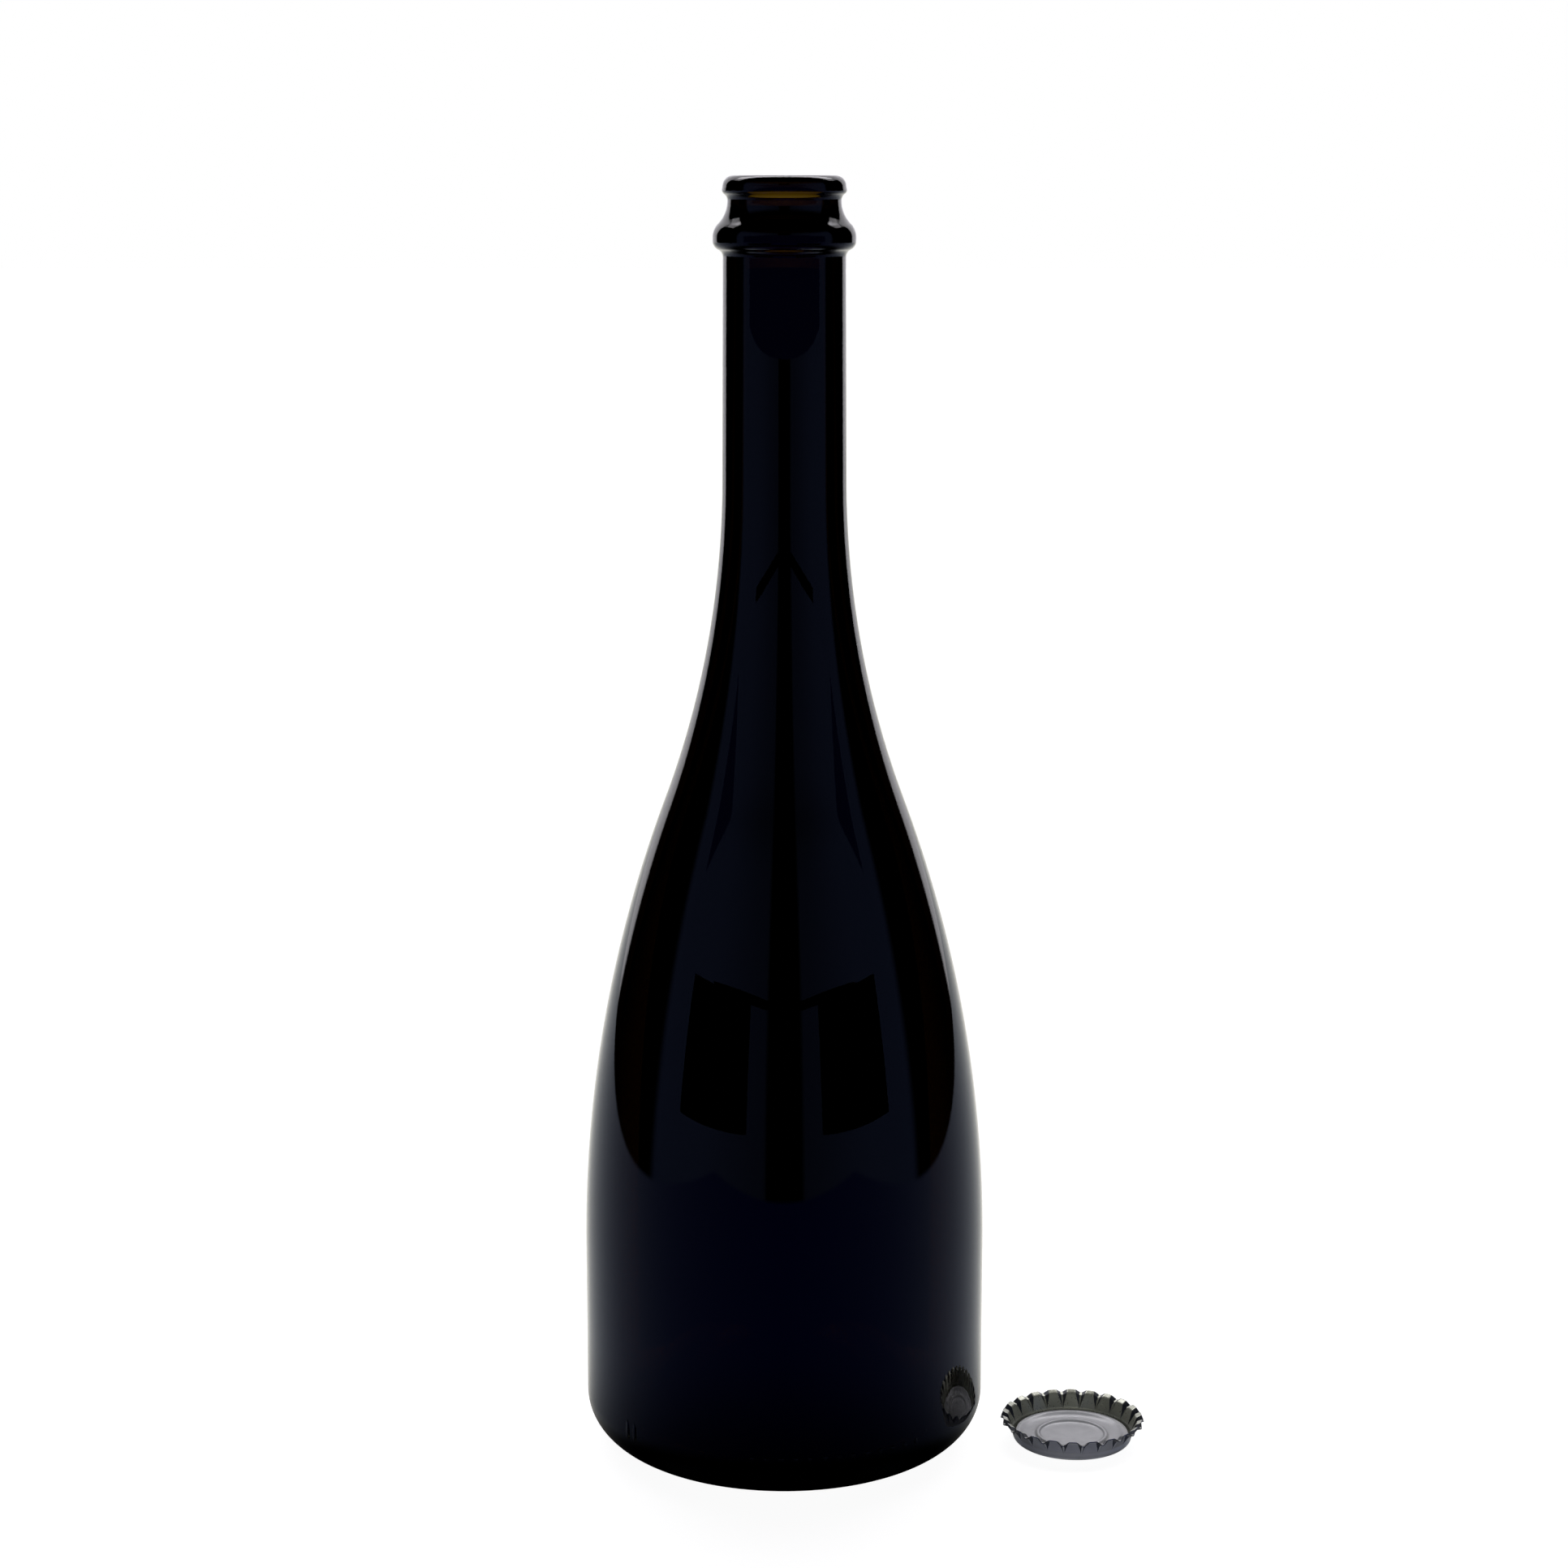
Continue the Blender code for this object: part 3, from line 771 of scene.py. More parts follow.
@dataclass
class CrownShell:
    """The pressed steel shell of the crown cap, lying on its panel with its skirt up."""

    axis: Vector
    finishes: dict[ShellFace, Material]
    panel_radius: float = 14.65 * MM
    panel_ring: float = 0.95
    corner_round: float = 1.6 * MM
    skirt_start: float = 2.2 * MM
    skirt_length: float = 3.5 * MM
    skirt_lean_deg: float = 24.0
    skirt_bend: float = 1.4 * MM
    flange_length: float = 1.3 * MM
    flange_lean_deg: float = 65.0
    flange_bend: float = 0.8 * MM
    ridge_depth: float = 0.98 * MM
    ridge_half_width: float = 1.5 * MM
    crest_half_width: float = 0.27 * MM
    least_ridge_share: float = 0.2
    # Painted shade: where the fold mask is over this, the ridges' flanks get the dark fold finish.
    painted_fold_shade_from: float = 0.13
    sheet: float = 0.25 * MM
    # Painted shade: rows of the outer face past this share of the skirt take the dark cut-edge finish.
    painted_rim_shade_from: float = 0.97
    cut_round: float = 0.06 * MM
    flutes: int = 22
    first_ridge_deg: float = 12.0
    fold_round: float = 0.08
    fold_reach: float = 1.3
    ridge_columns: int = 24
    land_columns: int = 4
    bend_steps: int = 6
    straight_steps: int = 4
    cut_steps: int = 6

    def land_edge_radius(self) -> float:
        """Radius of the rim on the lands between the ridges."""
        return (self.panel_radius + self.skirt_length * math.sin(math.radians(self.skirt_lean_deg))
                + self.flange_length * math.sin(math.radians(self.flange_lean_deg)))

    def land_profile(self) -> list[Point3]:
        """The skirt on a land, walked up along the sheet: each bend takes its tangents off the straights.

        Returns:
            Radius, height and lean of each row.
        """
        skirt_lean = math.radians(self.skirt_lean_deg)
        flange_lean = math.radians(self.flange_lean_deg)
        low_tangent = self.skirt_bend * math.tan(skirt_lean / 2)
        high_tangent = self.flange_bend * math.tan((flange_lean - skirt_lean) / 2)
        radius, height, lean = self.panel_radius, self.skirt_start - low_tangent, 0.0
        rows = [(radius, height, lean)]
        for bend, next_lean, straight in (
                (self.skirt_bend, skirt_lean, self.skirt_length - low_tangent - high_tangent),
                (self.flange_bend, flange_lean, self.flange_length - high_tangent)):
            turn = (next_lean - lean) / self.bend_steps
            for _ in range(self.bend_steps):
                chord = 2 * bend * math.sin(turn / 2)
                radius += chord * math.sin(lean + turn / 2)
                height += chord * math.cos(lean + turn / 2)
                lean += turn
                rows.append((radius, height, lean))
            for _ in range(self.straight_steps):
                radius += straight / self.straight_steps * math.sin(lean)
                height += straight / self.straight_steps * math.cos(lean)
                rows.append((radius, height, lean))
        return rows

    def outside(self) -> list[SectionRow]:
        """Outer face of the sheet.

        Returns:
            Rows from the middle of the panel to the rim.
        """
        flat = self.panel_radius - self.corner_round
        corner = arc((flat, self.corner_round), (self.corner_round, self.corner_round), 270.0, 360.0,
                     2 * self.bend_steps)
        quarter = math.pi / 2
        rows = [SectionRow(radius, 0.0, quarter, 0.0, ShellFace.OUTSIDE)
                for radius in (0.0, flat / 2, self.panel_ring * flat)]
        for number, (radius, height) in enumerate(corner):
            lean = quarter * (1 - number / (len(corner) - 1))
            rows.append(SectionRow(radius, height, lean, 0.0, ShellFace.OUTSIDE))
        land = self.land_profile()
        foot, rim = land[0][1], land[-1][1]
        rows += [SectionRow(radius, height, lean, (height - foot) / (rim - foot), ShellFace.OUTSIDE)
                 for radius, height, lean in land]
        return rows

    def section(self) -> list[SectionRow]:
        """The whole sheet: outer face, cut edge and inner face.

        Returns:
            Rows from the middle of the panel, over the rim, to the middle of the inner face.
        """
        outside = self.outside()
        end = outside[-1]
        along = (math.sin(end.lean), math.cos(end.lean))
        inward = (-math.cos(end.lean), math.sin(end.lean))
        back = SectionRow(end.radius - self.cut_round * along[0], end.height - self.cut_round * along[1],
                          end.lean, end.share, ShellFace.CUT)
        outside[-1] = back
        # Painted shade: the last strip of the outer face by the rim takes the dark cut-edge finish.
        outside = [row._replace(face=ShellFace.CUT) if row.share > self.painted_rim_shade_from else row for row in outside]
        cut = []
        for number in range(1, self.cut_steps):
            turn = math.pi * number / self.cut_steps
            depth = self.sheet / 2 * (1 - math.cos(turn))
            bulge = self.cut_round * math.sin(turn)
            cut.append(SectionRow(back.radius + inward[0] * depth + along[0] * bulge,
                                  back.height + inward[1] * depth + along[1] * bulge,
                                  end.lean, end.share, ShellFace.CUT))
        inside = [SectionRow(row.radius - self.sheet * math.cos(row.lean),
                             row.height + self.sheet * math.sin(row.lean),
                             row.lean, row.share, ShellFace.INSIDE) for row in outside[::-1]]
        inside[-1] = inside[-1]._replace(radius=0.0)
        return outside + cut + inside

    def flute(self) -> list[Point3]:
        """One flute's columns, a ridge with rounded folds and then the land beside it.

        Returns:
            Share of the ridge's foot, share of the pitch and share of the lift of each column.
        """
        def bend(offset: float) -> float:
            """Distance from a fold, rounded close to it."""
            return math.hypot(offset, self.fold_round)

        def lift(offset: float) -> float:
            """Height of the ridge at a share of its foot."""
            return bend(offset - 1) + bend(offset + 1) - bend(offset - crest) - bend(offset + crest)

        crest = self.crest_half_width / self.ridge_half_width
        columns = []
        for number in range(self.ridge_columns + 1):
            offset = self.fold_reach * (2 * number / self.ridge_columns - 1)
            columns.append((offset, 0.0, lift(offset) / lift(0.0)))
        foot_lift = columns[-1][2]
        for number in range(1, self.land_columns + 1):
            across = number / (self.land_columns + 1)
            columns.append((self.fold_reach * (1 - 2 * across), across, foot_lift))
        return columns

    def build(self) -> None:
        """Make the shell, seat it on its body and let it stand for its solid."""
        rows = self.section()
        mesh = point_mesh("shell_section", [(row.radius, row.height) for row in rows])
        for label, values in (("lean", [row.lean for row in rows]), ("share", [row.share for row in rows]),
                              ("face", [float(row.face.value) for row in rows])):
            mesh.attributes.new(label, "FLOAT", "POINT").data.foreach_set("value", values)
        flute_mesh = bpy.data.meshes.new("flute")
        flute_mesh.from_pydata(self.flute(), [], [])
        columns = linked("flute", flute_mesh)
        item = PressedTree("pressed_shell", self, columns, self.finishes).run("cap_shell", mesh)
        bpy.data.objects.remove(columns)
        seat(item, "crown_cap", "crown_cap_shell")


@dataclass
class CapLiner:
    """The sealing liner moulded inside the cap's shell."""

    axis: Vector
    finish: Material
    shell: CrownShell
    seat_gap: float = 0.2 * MM
    edge_deg: float = -40.0
    side: float = 0.75 * MM
    side_draft: float = 0.12 * MM
    rim_width: float = 1.1 * MM
    rim_rise: float = 0.35 * MM
    rim_crest: float = 1.15
    rim_crest_drop: float = 0.1
    rim_inside: float = 0.85
    slope_width: float = 2.75 * MM
    slope_bend: float = 0.35
    slope_bend_rise: float = 0.5
    groove_width: float = 0.9 * MM
    ridge_half_width: float = 0.7 * MM
    ridge_rise: float = 0.4 * MM
    ridge_crest: float = 1.7
    ridge_crest_half: float = 0.4
    disc: float = 0.6 * MM
    soft_rounds: int = 3
    segments: int = 176
    steps: int = 12

    def outline(self) -> list[Point2]:
        """Half section of the liner.

        Returns:
            Points from the axis below, round the outer edge, and back over the rim and ring.
        """
        floor = self.shell.sheet + self.seat_gap
        flat = self.shell.panel_radius - self.shell.corner_round
        corner_round = self.shell.corner_round - floor
        corner = arc((flat, self.shell.corner_round), (corner_round, corner_round), -90.0, self.edge_deg, self.steps)
        edge = corner[-1][0] - self.side_draft
        edge_height = corner[-1][1] + self.side
        inner = edge - self.rim_width
        rim_top = edge_height + self.rim_crest * self.rim_rise
        rim = [(edge, edge_height), (edge, rim_top - self.rim_crest_drop * self.rim_rise),
               (edge - self.rim_width / 2, rim_top), (inner, edge_height + self.rim_inside * self.rim_rise)]
        disc_top = floor + self.disc
        groove = inner - self.slope_width
        slope = [(inner - self.slope_bend * self.slope_width,
                  disc_top + self.slope_bend_rise * (edge_height - disc_top)), (groove, disc_top)]
        ring_centre = groove - self.groove_width - self.ridge_half_width
        ring_top = disc_top + self.ridge_crest * self.ridge_rise
        crest = self.ridge_crest_half * self.ridge_half_width
        ring = [(ring_centre + self.ridge_half_width, disc_top), (ring_centre + crest, ring_top),
                (ring_centre - crest, ring_top), (ring_centre - self.ridge_half_width, disc_top)]
        upper = soften(rim + slope + ring + [(ring_centre / 2, disc_top)], self.soft_rounds)
        return [(0.0, floor)] + corner + upper + [(0.0, disc_top)]

    def build(self) -> None:
        """Make the liner, seat it on its body and let it stand for its solid."""
        tree = TurnedTree("turned_liner", self.axis, self.segments, self.finish)
        item = tree.run("cap_liner", point_mesh("liner_outline", self.outline()))
        seat(item, "crown_cap", "crown_cap_liner")


class SkyBench(NodeBench):
    """The world's tree, with a ray's direction: x, y and z, degrees aside from straight back, and degrees up."""

    def __init__(self, world: bpy.types.World) -> None:
        """Empty the world's tree, and read a ray's direction in it.

        Args:
            world: The world that is lit.
        """
        world.use_nodes = True
        world.node_tree.nodes.clear()
        super().__init__(world.node_tree)
        self.x, self.y, self.z = self.parts(self.add("ShaderNodeTexCoord").outputs["Generated"])
        self.aside = self.math("DEGREES", self.math("ABSOLUTE", self.math("ARCTAN2", self.x, self.y)))
        self.up = self.math("DEGREES", self.math("ARCSINE", self.z))


@dataclass
class Studio:
    """A white sweep behind a table, a softbox hung over it, and a dim room in front.

    The camera sees plain white. Glass and steel see the studio by direction, which draws the long
    edge lights of the bottle. Directions are in degrees, or shares of the height over the bottle.
    """

    axis: Vector
    sweep_colour: Colour = (0.97, 0.95, 1.0)
    sweep_side: Edge = Edge(40.5, 2.0)
    sweep_top: Edge = Edge(48.0, 2.0)
    softbox_reach: Edge = Edge(1.3, 0.05)
    softbox_core: Edge = Edge(0.85, 0.12)
    softbox_near: Edge = Edge(0.5, 0.05)
    softbox_far: Edge = Edge(1.05, 0.05)
    softbox_wing: Edge = Edge(1.6, 0.1)
    softbox_low: Edge = Edge(0.05, 0.02)
    softbox_wing_level: float = 0.35
    softbox_level: float = 1.3
    softbox_core_level: float = 2.7
    eye_height: float = 0.08
    table_half: float = 0.42
    table_front: float = 0.49
    table_rim: Point2 = (-0.05, 0.08)
    table_lit_deg: float = 15.0
    table_level: Colour = (0.99, 0.98, 0.85)
    table_fade: Colour = (0.033, 0.0305, 0.027)
    table_dusk: Colour = (0.0, 0.0, 0.07)
    table_dark_from: Edge = Edge(-35.0, 11.0)
    table_dark_to: Edge = Edge(-56.0, 4.0)
    front_colour: Colour = (0.05, 0.066, 0.14)
    front_start: Edge = Edge(98.0, 3.0)
    front_full_deg: float = 125.0
    front_end: Edge = Edge(169.0, 1.5)
    front_far_share: float = 0.55
    front_top: Edge = Edge(30.0, 8.0)
    window_near_deg: float = 21.0
    window_far_deg: float = 61.0
    window_distance: float = 0.4
    window_low: float = 0.073
    window_high: float = 0.185
    rail_distance: float = 0.72
    rail_middle: float = 0.15
    rail_end: float = 0.8
    rail_low: float = 0.243
    rail_high: float = 0.258
    rail_end_low: float = 0.292
    rail_end_high: float = 0.316
    band_half: float = 0.35
    band_distance: float = 0.15
    band_low: float = 0.2595
    band_high: float = 0.34
    band_colour: Colour = (0.008, 0.009, 0.055)
    backing_half: float = 0.046
    backing_distance: float = 0.055
    backing_high: float = 0.285
    shade_half: float = 200.0 * MM
    shade_inner: float = 42.0 * MM
    shade_outer: float = 60.0 * MM
    front_shade_offset: float = 35.0 * MM
    front_shade_inner: float = 15.0 * MM
    front_shade_outer: float = 130.0 * MM
    shade_drop: float = 0.05 * MM
    fill_place: Point3 = (0.1, -0.9, 0.12)
    fill_size: float = 0.5
    fill_power: float = 6.0
    floor_glow: float = 0.92
    floor_colour: Colour = (0.3, 0.3, 0.3)
    floor_half: float = 10.0

    def light(self) -> None:
        """Set the world: white to the camera, the studio by direction to everything else."""
        world = bpy.data.worlds.new("studio")
        bpy.context.scene.world = world
        sky = SkyBench(world)
        on_table = self.on_table(sky)
        off_table = sky.math("SUBTRACT", 1.0, on_table)
        seen = sky.total(
            sky.tint(self.table(sky), on_table),
            sky.tint(self.sweep_colour, sky.product(off_table, self.sweep(sky))),
            sky.tint(self.sweep_colour, self.softbox(sky)),
            sky.tint(self.front_colour, sky.product(off_table, self.front(sky))),
        )
        studio, white = (sky.add("ShaderNodeBackground", {"Color": colour, "Strength": 1.0})
                         for colour in (seen, WHITE))
        camera_ray = sky.add("ShaderNodeLightPath").outputs["Is Camera Ray"]
        mixed = sky.add("ShaderNodeMixShader", {0: camera_ray, 1: studio, 2: white})
        sky.add("ShaderNodeOutputWorld", {"Surface": mixed})

    def on_table(self, sky: SkyBench) -> Socket:
        """Tell whether a ray from the bottle's side meets the table, which ends beside and in front.

        Args:
            sky: The world's bench.

        Returns:
            One on the table, zero past its edge.
        """
        beside = sky.math("DIVIDE", sky.math("ABSOLUTE", sky.x), self.table_half)
        before = sky.math("DIVIDE", sky.y, -self.table_front)
        reach = sky.math("MAXIMUM", beside, before)
        down = sky.math("DIVIDE", sky.z, -self.eye_height)
        return sky.ramp(sky.math("SUBTRACT", down, sky.math("MAXIMUM", reach, 0.0)), *self.table_rim)

    def table(self, sky: SkyBench) -> Socket:
        """Colour the table: white towards the sweep, a fading dark blue in front, and dark where seen steeply.

        Args:
            sky: The world's bench.

        Returns:
            The table's colour in a ray's direction.
        """
        past = sky.math("MAXIMUM", sky.math("SUBTRACT", sky.aside, self.table_lit_deg), 0.0)
        lit = sky.math("ADD", sky.over(sky.up, self.table_dark_from), sky.under(sky.up, self.table_dark_to))
        channels = {}
        for channel, level, fade, dusk in zip("XYZ", self.table_level, self.table_fade, self.table_dusk):
            share = sky.math("EXPONENT", sky.product(past, -fade))
            channels[channel] = sky.product(sky.math("MULTIPLY_ADD", share, level, dusk), lit)
        return sky.add("ShaderNodeCombineXYZ", channels).outputs[0]

    def sweep(self, sky: SkyBench) -> Socket:
        """The lit wall behind the table."""
        return sky.product(sky.under(sky.aside, self.sweep_side), sky.under(sky.up, self.sweep_top))

    def softbox(self, sky: SkyBench) -> Socket:
        """Hang a square light over the table, brightest in its middle, with a faint wing behind it.

        Args:
            sky: The world's bench.

        Returns:
            How bright it is in a ray's direction.
        """
        height = sky.math("MAXIMUM", sky.z, MM)
        along = sky.math("DIVIDE", sky.math("ABSOLUTE", sky.x), height)
        back = sky.math("DIVIDE", sky.y, height)
        level = sky.math("MULTIPLY_ADD", sky.under(along, self.softbox_core), self.softbox_core_level,
                         self.softbox_level)
        lit = sky.product(sky.under(back, self.softbox_far), sky.over(back, self.softbox_near))
        wing = sky.product(sky.under(back, self.softbox_wing), sky.over(back, self.softbox_far),
                           sky.over(sky.aside, self.sweep_side))
        shown = sky.math("MULTIPLY_ADD", lit, level, sky.product(wing, self.softbox_wing_level))
        return sky.product(sky.under(along, self.softbox_reach), sky.over(sky.z, self.softbox_low), shown)

    def front(self, sky: SkyBench) -> Socket:
        """Faint panels of the room in front, left and right of the camera."""
        far = sky.ramp(sky.aside, self.front_full_deg, self.front_end.at, 1.0, self.front_far_share)
        return sky.product(sky.over(sky.aside, self.front_start), sky.under(sky.aside, self.front_end), far,
                           sky.under(sky.up, self.front_top))

    def cards(self) -> None:
        """Stand dark cards about the bottle, for its reflections and for the light that shines through it."""
        near, far = (math.radians(bearing) for bearing in (self.window_near_deg, self.window_far_deg))
        for side in (-1, 1):
            ends = [(side * self.window_distance * math.sin(bearing), -self.window_distance * math.cos(bearing))
                    for bearing in (near, far)]
            self.card("dark_window", upright(*ends, self.window_low, self.window_high))
            self.card("dark_arm", [
                (side * reach, -self.rail_distance, height) for reach, height in (
                    (self.rail_middle, self.rail_low), (self.rail_end, self.rail_end_low),
                    (self.rail_end, self.rail_end_high), (self.rail_middle, self.rail_high))])
        self.card("dark_rail", across(self.rail_middle, self.rail_distance, self.rail_low, self.rail_high))
        self.card("dim_band", across(self.band_half, self.band_distance, self.band_low, self.band_high),
                  self.band_colour)
        backing = self.card("backing", across(self.backing_half, -self.backing_distance, 0.0, self.backing_high))
        backing.visible_glossy = False
        backing.visible_transmission = True

    def card(self, name: str, corners: list[Point3], colour: Colour = BLACK) -> Item:
        """Set up one card, for reflections only.

        Args:
            name: Its name, and its material's.
            corners: Its corners in order, from the foot of the bottle's axis.
            colour: The light that it gives.

        Returns:
            The card.
        """
        item, bench = self.panel(name, corners)
        bench.add("ShaderNodeOutputMaterial", {
            "Surface": bench.add("ShaderNodeEmission", {"Color": colour, "Strength": 1.0})})
        item.visible_camera = False
        item.visible_transmission = False
        return item

    def fill(self) -> None:
        """Stand a soft lamp low in front that lights matt surfaces and leaves no highlight."""
        data = bpy.data.lights.new("fill", "AREA")
        data.size = self.fill_size
        data.energy = self.fill_power
        item = linked("fill", data)
        place = Vector(self.fill_place)
        item.location = self.axis + place
        item.rotation_euler = (-place).to_track_quat("-Z", "Y").to_euler()
        item.visible_glossy = False
        item.visible_transmission = False

    def panel(self, name: str, corners: list[Point3]) -> tuple[Item, NodeBench]:
        """Make a flat panel of the studio that casts no light and no shadow.

        Args:
            name: Its name, and its material's.
            corners: Its corners in order, from the foot of the bottle's axis.

        Returns:
            The panel and the bench of its empty material.
        """
        mesh = bpy.data.meshes.new(name)
        mesh.from_pydata([self.axis + Vector(corner) for corner in corners], [], [tuple(range(len(corners)))])
        material = bpy.data.materials.new(name)
        material.use_nodes = True
        material.node_tree.nodes.clear()
        mesh.materials.append(material)
        item = linked(name, mesh)
        item.visible_diffuse = False
        item.visible_shadow = False
        return item, NodeBench(material.node_tree)

    def level_panel(self, name: str, half: float, height: float) -> tuple[Item, NodeBench]:
        """Lay a square panel under the bottle, with half this side and at this height."""
        return self.panel(name, [(x * half, y * half, height) for x, y in ((-1, -1), (1, -1), (1, 1), (-1, 1))])

    def floor(self) -> None:
        """Lay the pale floor, which only the camera sees, with the object's shadow on it."""
        item, bench = self.level_panel("floor", self.floor_half, 0.0)
        paint = bench.add("ShaderNodeBsdfDiffuse", {"Color": self.floor_colour})
        glow = bench.add("ShaderNodeEmission", {"Color": WHITE, "Strength": self.floor_glow})
        top = bench.add("ShaderNodeAddShader", {0: paint, 1: glow})
        underside = bench.add("ShaderNodeNewGeometry").outputs["Backfacing"]
        shown = bench.add("ShaderNodeMixShader", {0: underside, 1: top, 2: bench.add("ShaderNodeBsdfTransparent")})
        bench.add("ShaderNodeOutputMaterial", {"Surface": shown})
        item.visible_glossy = False
        item.visible_transmission = False

    def contact_shade(self) -> None:
        """Darken the table round the bottle's foot, where its own shade falls, for reflections only."""
        item, bench = self.level_panel("contact_shade", self.shade_half, -self.shade_drop)
        where = bench.add("ShaderNodeNewGeometry").outputs["Position"]
        before = self.axis - Vector((0.0, self.front_shade_offset, 0.0))
        clear = 1.0
        for middle, inner, outer in ((self.axis, self.shade_inner, self.shade_outer),
                                     (before, self.front_shade_inner, self.front_shade_outer)):
            away = bench.add("ShaderNodeVectorMath", {0: where, 1: middle}, operation="DISTANCE").outputs["Value"]
            clear = bench.product(bench.ramp(away, inner, outer), clear)
        bench.add("ShaderNodeOutputMaterial", {
            "Surface": bench.add("ShaderNodeBsdfTransparent", {"Color": bench.tint(WHITE, clear)})})
        item.visible_camera = False


@dataclass
class Viewpoint:
    """The camera, a little above the mouth and looking down at the body."""

    distance: float = 740.84 * MM
    aside: float = 0.1 * MM
    height: float = 306.82 * MM
    down_deg: float = 10.9356
    lens: float = 72.29
    clip_start: float = 0.01
    clip_end: float = 100.0

    def place(self, axis: Vector) -> None:
        """Set up the camera.

        Args:
            axis: The foot of the bottle's axis, which the camera faces.
        """
        data = bpy.data.cameras.new("camera")
        data.lens = self.lens
        data.clip_start = self.clip_start
        data.clip_end = self.clip_end
        item = linked("camera", data)
        item.location = (axis.x - self.aside, axis.y - self.distance, self.height)
        item.rotation_euler = (math.radians(90.0 - self.down_deg), 0.0, 0.0)
        bpy.context.scene.camera = item


def linked(name: str, data: Any) -> Item:
    """Put a new object into the scene.

    Args:
        name: Its name.
        data: Its mesh, lamp or camera.

    Returns:
        The object.
    """
    item = bpy.data.objects.new(name, data)
    bpy.context.scene.collection.objects.link(item)
    return item


def upright(start: Point2, end: Point2, low: float, high: float) -> list[Point3]:
    """Corners of an upright rectangle over two points on the ground, between two heights."""
    return [(*start, low), (*end, low), (*end, high), (*start, high)]


def across(half: float, before: float, low: float, high: float) -> list[Point3]:
    """Corners of an upright rectangle that stands square before the bottle, half its width to each side."""
    return upright((-half, -before), (half, -before), low, high)


def arc(centre: Point2, radii: Point2, start_deg: float, end_deg: float, steps: int) -> list[Point2]:
    """Points of an elliptic arc from one angle to another, with this centre, these two radii and this many chords."""
    angles = [math.radians(start_deg + (end_deg - start_deg) * number / steps) for number in range(steps + 1)]
    return [(centre[0] + radii[0] * math.cos(angle), centre[1] + radii[1] * math.sin(angle)) for angle in angles]


def blend(start: Point2, outward: float, first_round: float, second_round: float, steps: int) -> list[Point2]:
    """Two tangent arcs that step an upright wall over to another radius, going up.

    Args:
        start: Where the lower wall ends.
        outward: How much further out the upper wall stands.
        first_round: Radius of the lower arc.
        second_round: Radius of the upper arc.
        steps: Chords in each arc.

    Returns:
        The points, both ends included.
    """
    side = 1 if outward > 0 else -1
    turn = math.degrees(math.acos(1 - abs(outward) / (first_round + second_round)))
    lower_centre = (start[0] + side * first_round, start[1])
    lower_from = 180.0 if side > 0 else 0.0
    lower = arc(lower_centre, (first_round, first_round), lower_from, lower_from - side * turn, steps)
    rise = (first_round + second_round) * math.sin(math.radians(turn))
    upper_centre = (start[0] + outward - side * second_round, start[1] + rise)
    upper_to = 0.0 if side > 0 else 180.0
    upper = arc(upper_centre, (second_round, second_round), upper_to - side * turn, upper_to, steps)
    return lower + upper[1:]


def blend_rise(outward: float, first_round: float, second_round: float) -> float:
    """Height that blend takes up to step a wall outward by so much with these two arcs."""
    both = first_round + second_round
    return math.sqrt(both ** 2 - (both - abs(outward)) ** 2)


def soften(points: list[Point2], rounds: int) -> list[Point2]:
    """Cut the corners of an outline, and keep its ends.

    Args:
        points: The outline.
        rounds: How many times its corners are cut.

    Returns:
        The softer outline.
    """
    for _ in range(rounds):
        cut = [points[0]]
        for (r0, z0), (r1, z1) in zip(points, points[1:]):
            for share in (CORNER_CUT, 1 - CORNER_CUT):
                cut.append(((1 - share) * r0 + share * r1, (1 - share) * z0 + share * z1))
        points = cut + [points[-1]]
    return points


def guard(points: list[Point2], limit: float, gap: float) -> list[Point2]:
    """Put points close to both ends of each long straight, so that smooth shading turns only in the bends.

    Args:
        points: The outline.
        limit: Length over which a straight is long.
        gap: Distance of the new points from the ends.

    Returns:
        The outline with the new points.
    """
    guarded = [points[0]]
    for (r0, z0), (r1, z1) in zip(points, points[1:]):
        length = math.hypot(r1 - r0, z1 - z0)
        if length > limit:
            for share in (gap / length, 1 - gap / length):
                guarded.append((r0 + share * (r1 - r0), z0 + share * (z1 - z0)))
        guarded.append((r1, z1))
    return guarded


def point_mesh(name: str, outline: list[Point2]) -> Mesh:
    """Put an outline into a mesh as loose points.

    Args:
        name: The mesh's name.
        outline: Radius and height of each point.

    Returns:
        The mesh, with its points in order.
    """
    mesh = bpy.data.meshes.new(name)
    mesh.from_pydata([(radius, 0.0, height) for radius, height in outline], [], [])
    return mesh


def close_mesh(mesh: Mesh) -> None:
    """Turn every face outwards and keep the real folds crisp.

    Args:
        mesh: The closed mesh to finish.
    """
    shape = bmesh.new()
    shape.from_mesh(mesh)
    bmesh.ops.recalc_face_normals(shape, faces=shape.faces)
    shape.to_mesh(mesh)
    shape.free()
    mesh.set_sharp_from_angle(angle=math.radians(FOLD_DEG))


def seat(item: Item, body: str, node: str | None = None) -> None:
    """Tie a finished piece to the frame and report it.

    Args:
        item: The piece.
        body: The body that it moves with.
        node: The solid that it stands for, if any.
    """
    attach(item, body)
    if node:
        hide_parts(node)
    item.data.calc_loop_triangles()
    LOG.info("%s: %d triangles on %s", item.name, len(item.data.loop_triangles), body)


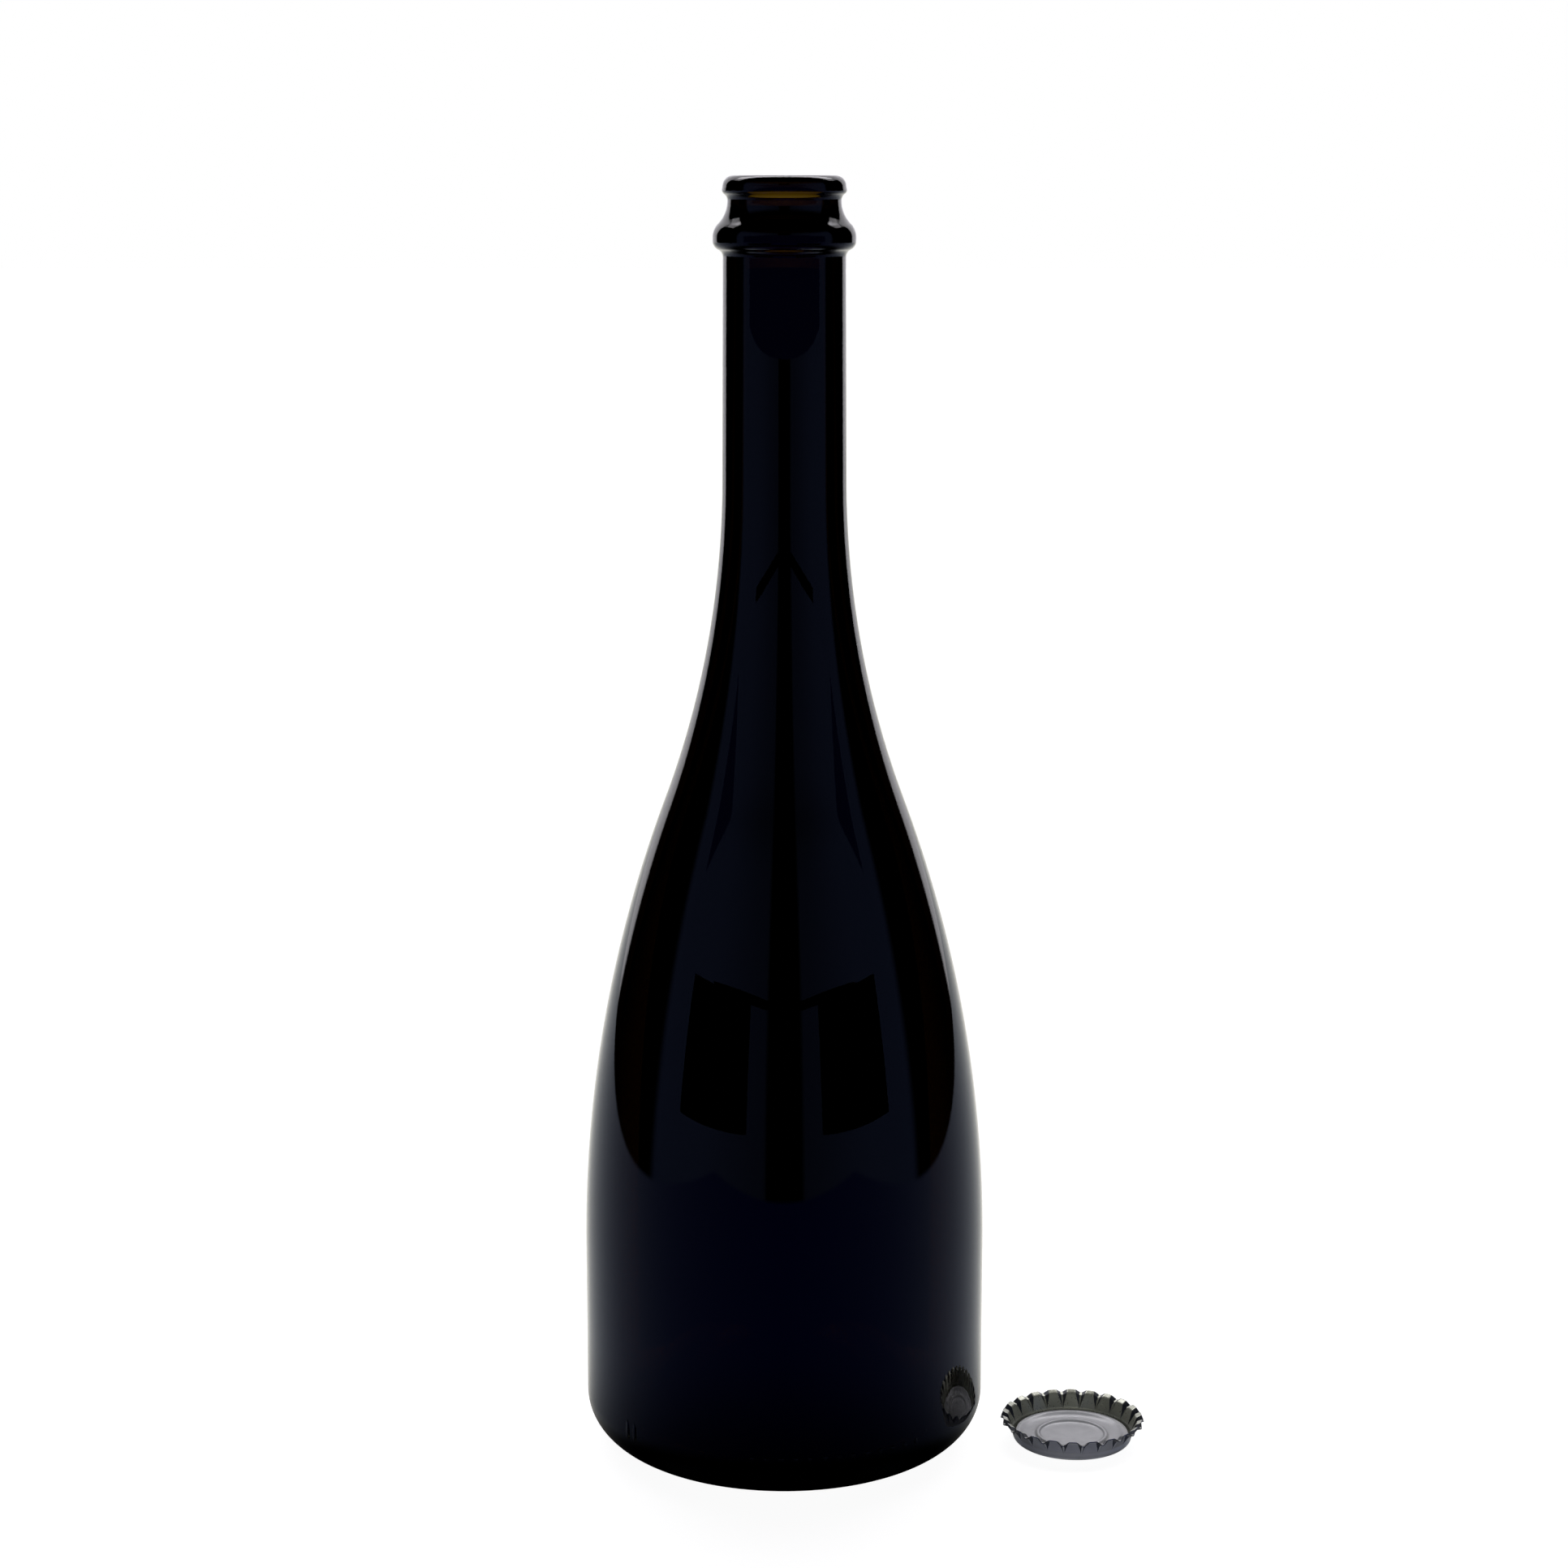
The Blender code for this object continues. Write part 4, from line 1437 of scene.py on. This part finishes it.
def axis_of(node: str) -> Vector:
    """Foot of the axis of a turned solid: the middle of its box, on the ground."""
    low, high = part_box(node)
    return Vector(((low[0] + high[0]) / 2, (low[1] + high[1]) / 2, 0.0))


def main() -> None:
    """Build the pieces, the studio and the camera."""
    logging.basicConfig(level=logging.INFO, format="%(message)s")
    bpy.context.scene.view_settings.view_transform = "Standard"
    bottle_axis = axis_of("glass_bottle")
    cap_axis = axis_of("crown_cap_liner")

    glass = DarkGlass().make()
    bottle = Bottle(bottle_axis, glass)
    bottle.build()
    HeelMarks("heel_dots", bottle_axis, glass, count=13, first_deg=-9.0, pitch_deg=4.06, height=12.3 * MM,
              half_width=0.6 * MM, half_height=0.6 * MM, rise=0.35 * MM).build(bottle)
    HeelMarks("heel_bars", bottle_axis, glass, count=2, first_deg=-50.2, pitch_deg=3.0, height=12.5 * MM,
              half_width=0.6 * MM, half_height=2.4 * MM, rise=0.3 * MM).build(bottle)
    HeelMarks("side_dot", bottle_axis, glass, count=1, first_deg=38.0, pitch_deg=1.0, height=22.0 * MM,
              half_width=0.35 * MM, half_height=0.35 * MM, rise=0.15 * MM).build(bottle)

    shell = CrownShell(cap_axis, {
        ShellFace.OUTSIDE: SheetFinish("tin_plate", colour=(0.4, 0.405, 0.415), worn=(0.5, 0.505, 0.51),
                                       metallic=0.7, roughness=0.33).make(),
        # Dark bluish: partly the raw cut edge, partly painted shade on the rim's last strip of the outer face.
        ShellFace.CUT: SheetFinish("cut_edge_and_rim_shade", colour=(0.06, 0.07, 0.13), worn=(0.12, 0.13, 0.2),
                                   metallic=0.7, roughness=0.35).make(),
        ShellFace.INSIDE: SheetFinish("inner_lacquer", colour=(0.33, 0.34, 0.28), worn=(0.4, 0.41, 0.33),
                                      metallic=0.65, roughness=0.32, coat=0.4).make(),
        # Painted shade on the flanks of the ridges, not a coating of the cap.
        ShellFace.FOLD: SheetFinish("painted_fold_shade", colour=(0.06, 0.065, 0.08), worn=(0.11, 0.115, 0.12),
                                    metallic=0.85, roughness=0.4).make(),
    })
    shell.build()
    CapLiner(cap_axis, SealCompound().make(), shell).build()

    studio = Studio(bottle_axis)
    studio.light()
    studio.fill()
    studio.floor()
    studio.contact_shade()
    studio.cards()
    Viewpoint().place(bottle_axis)


if __name__ == "__main__":
    main()
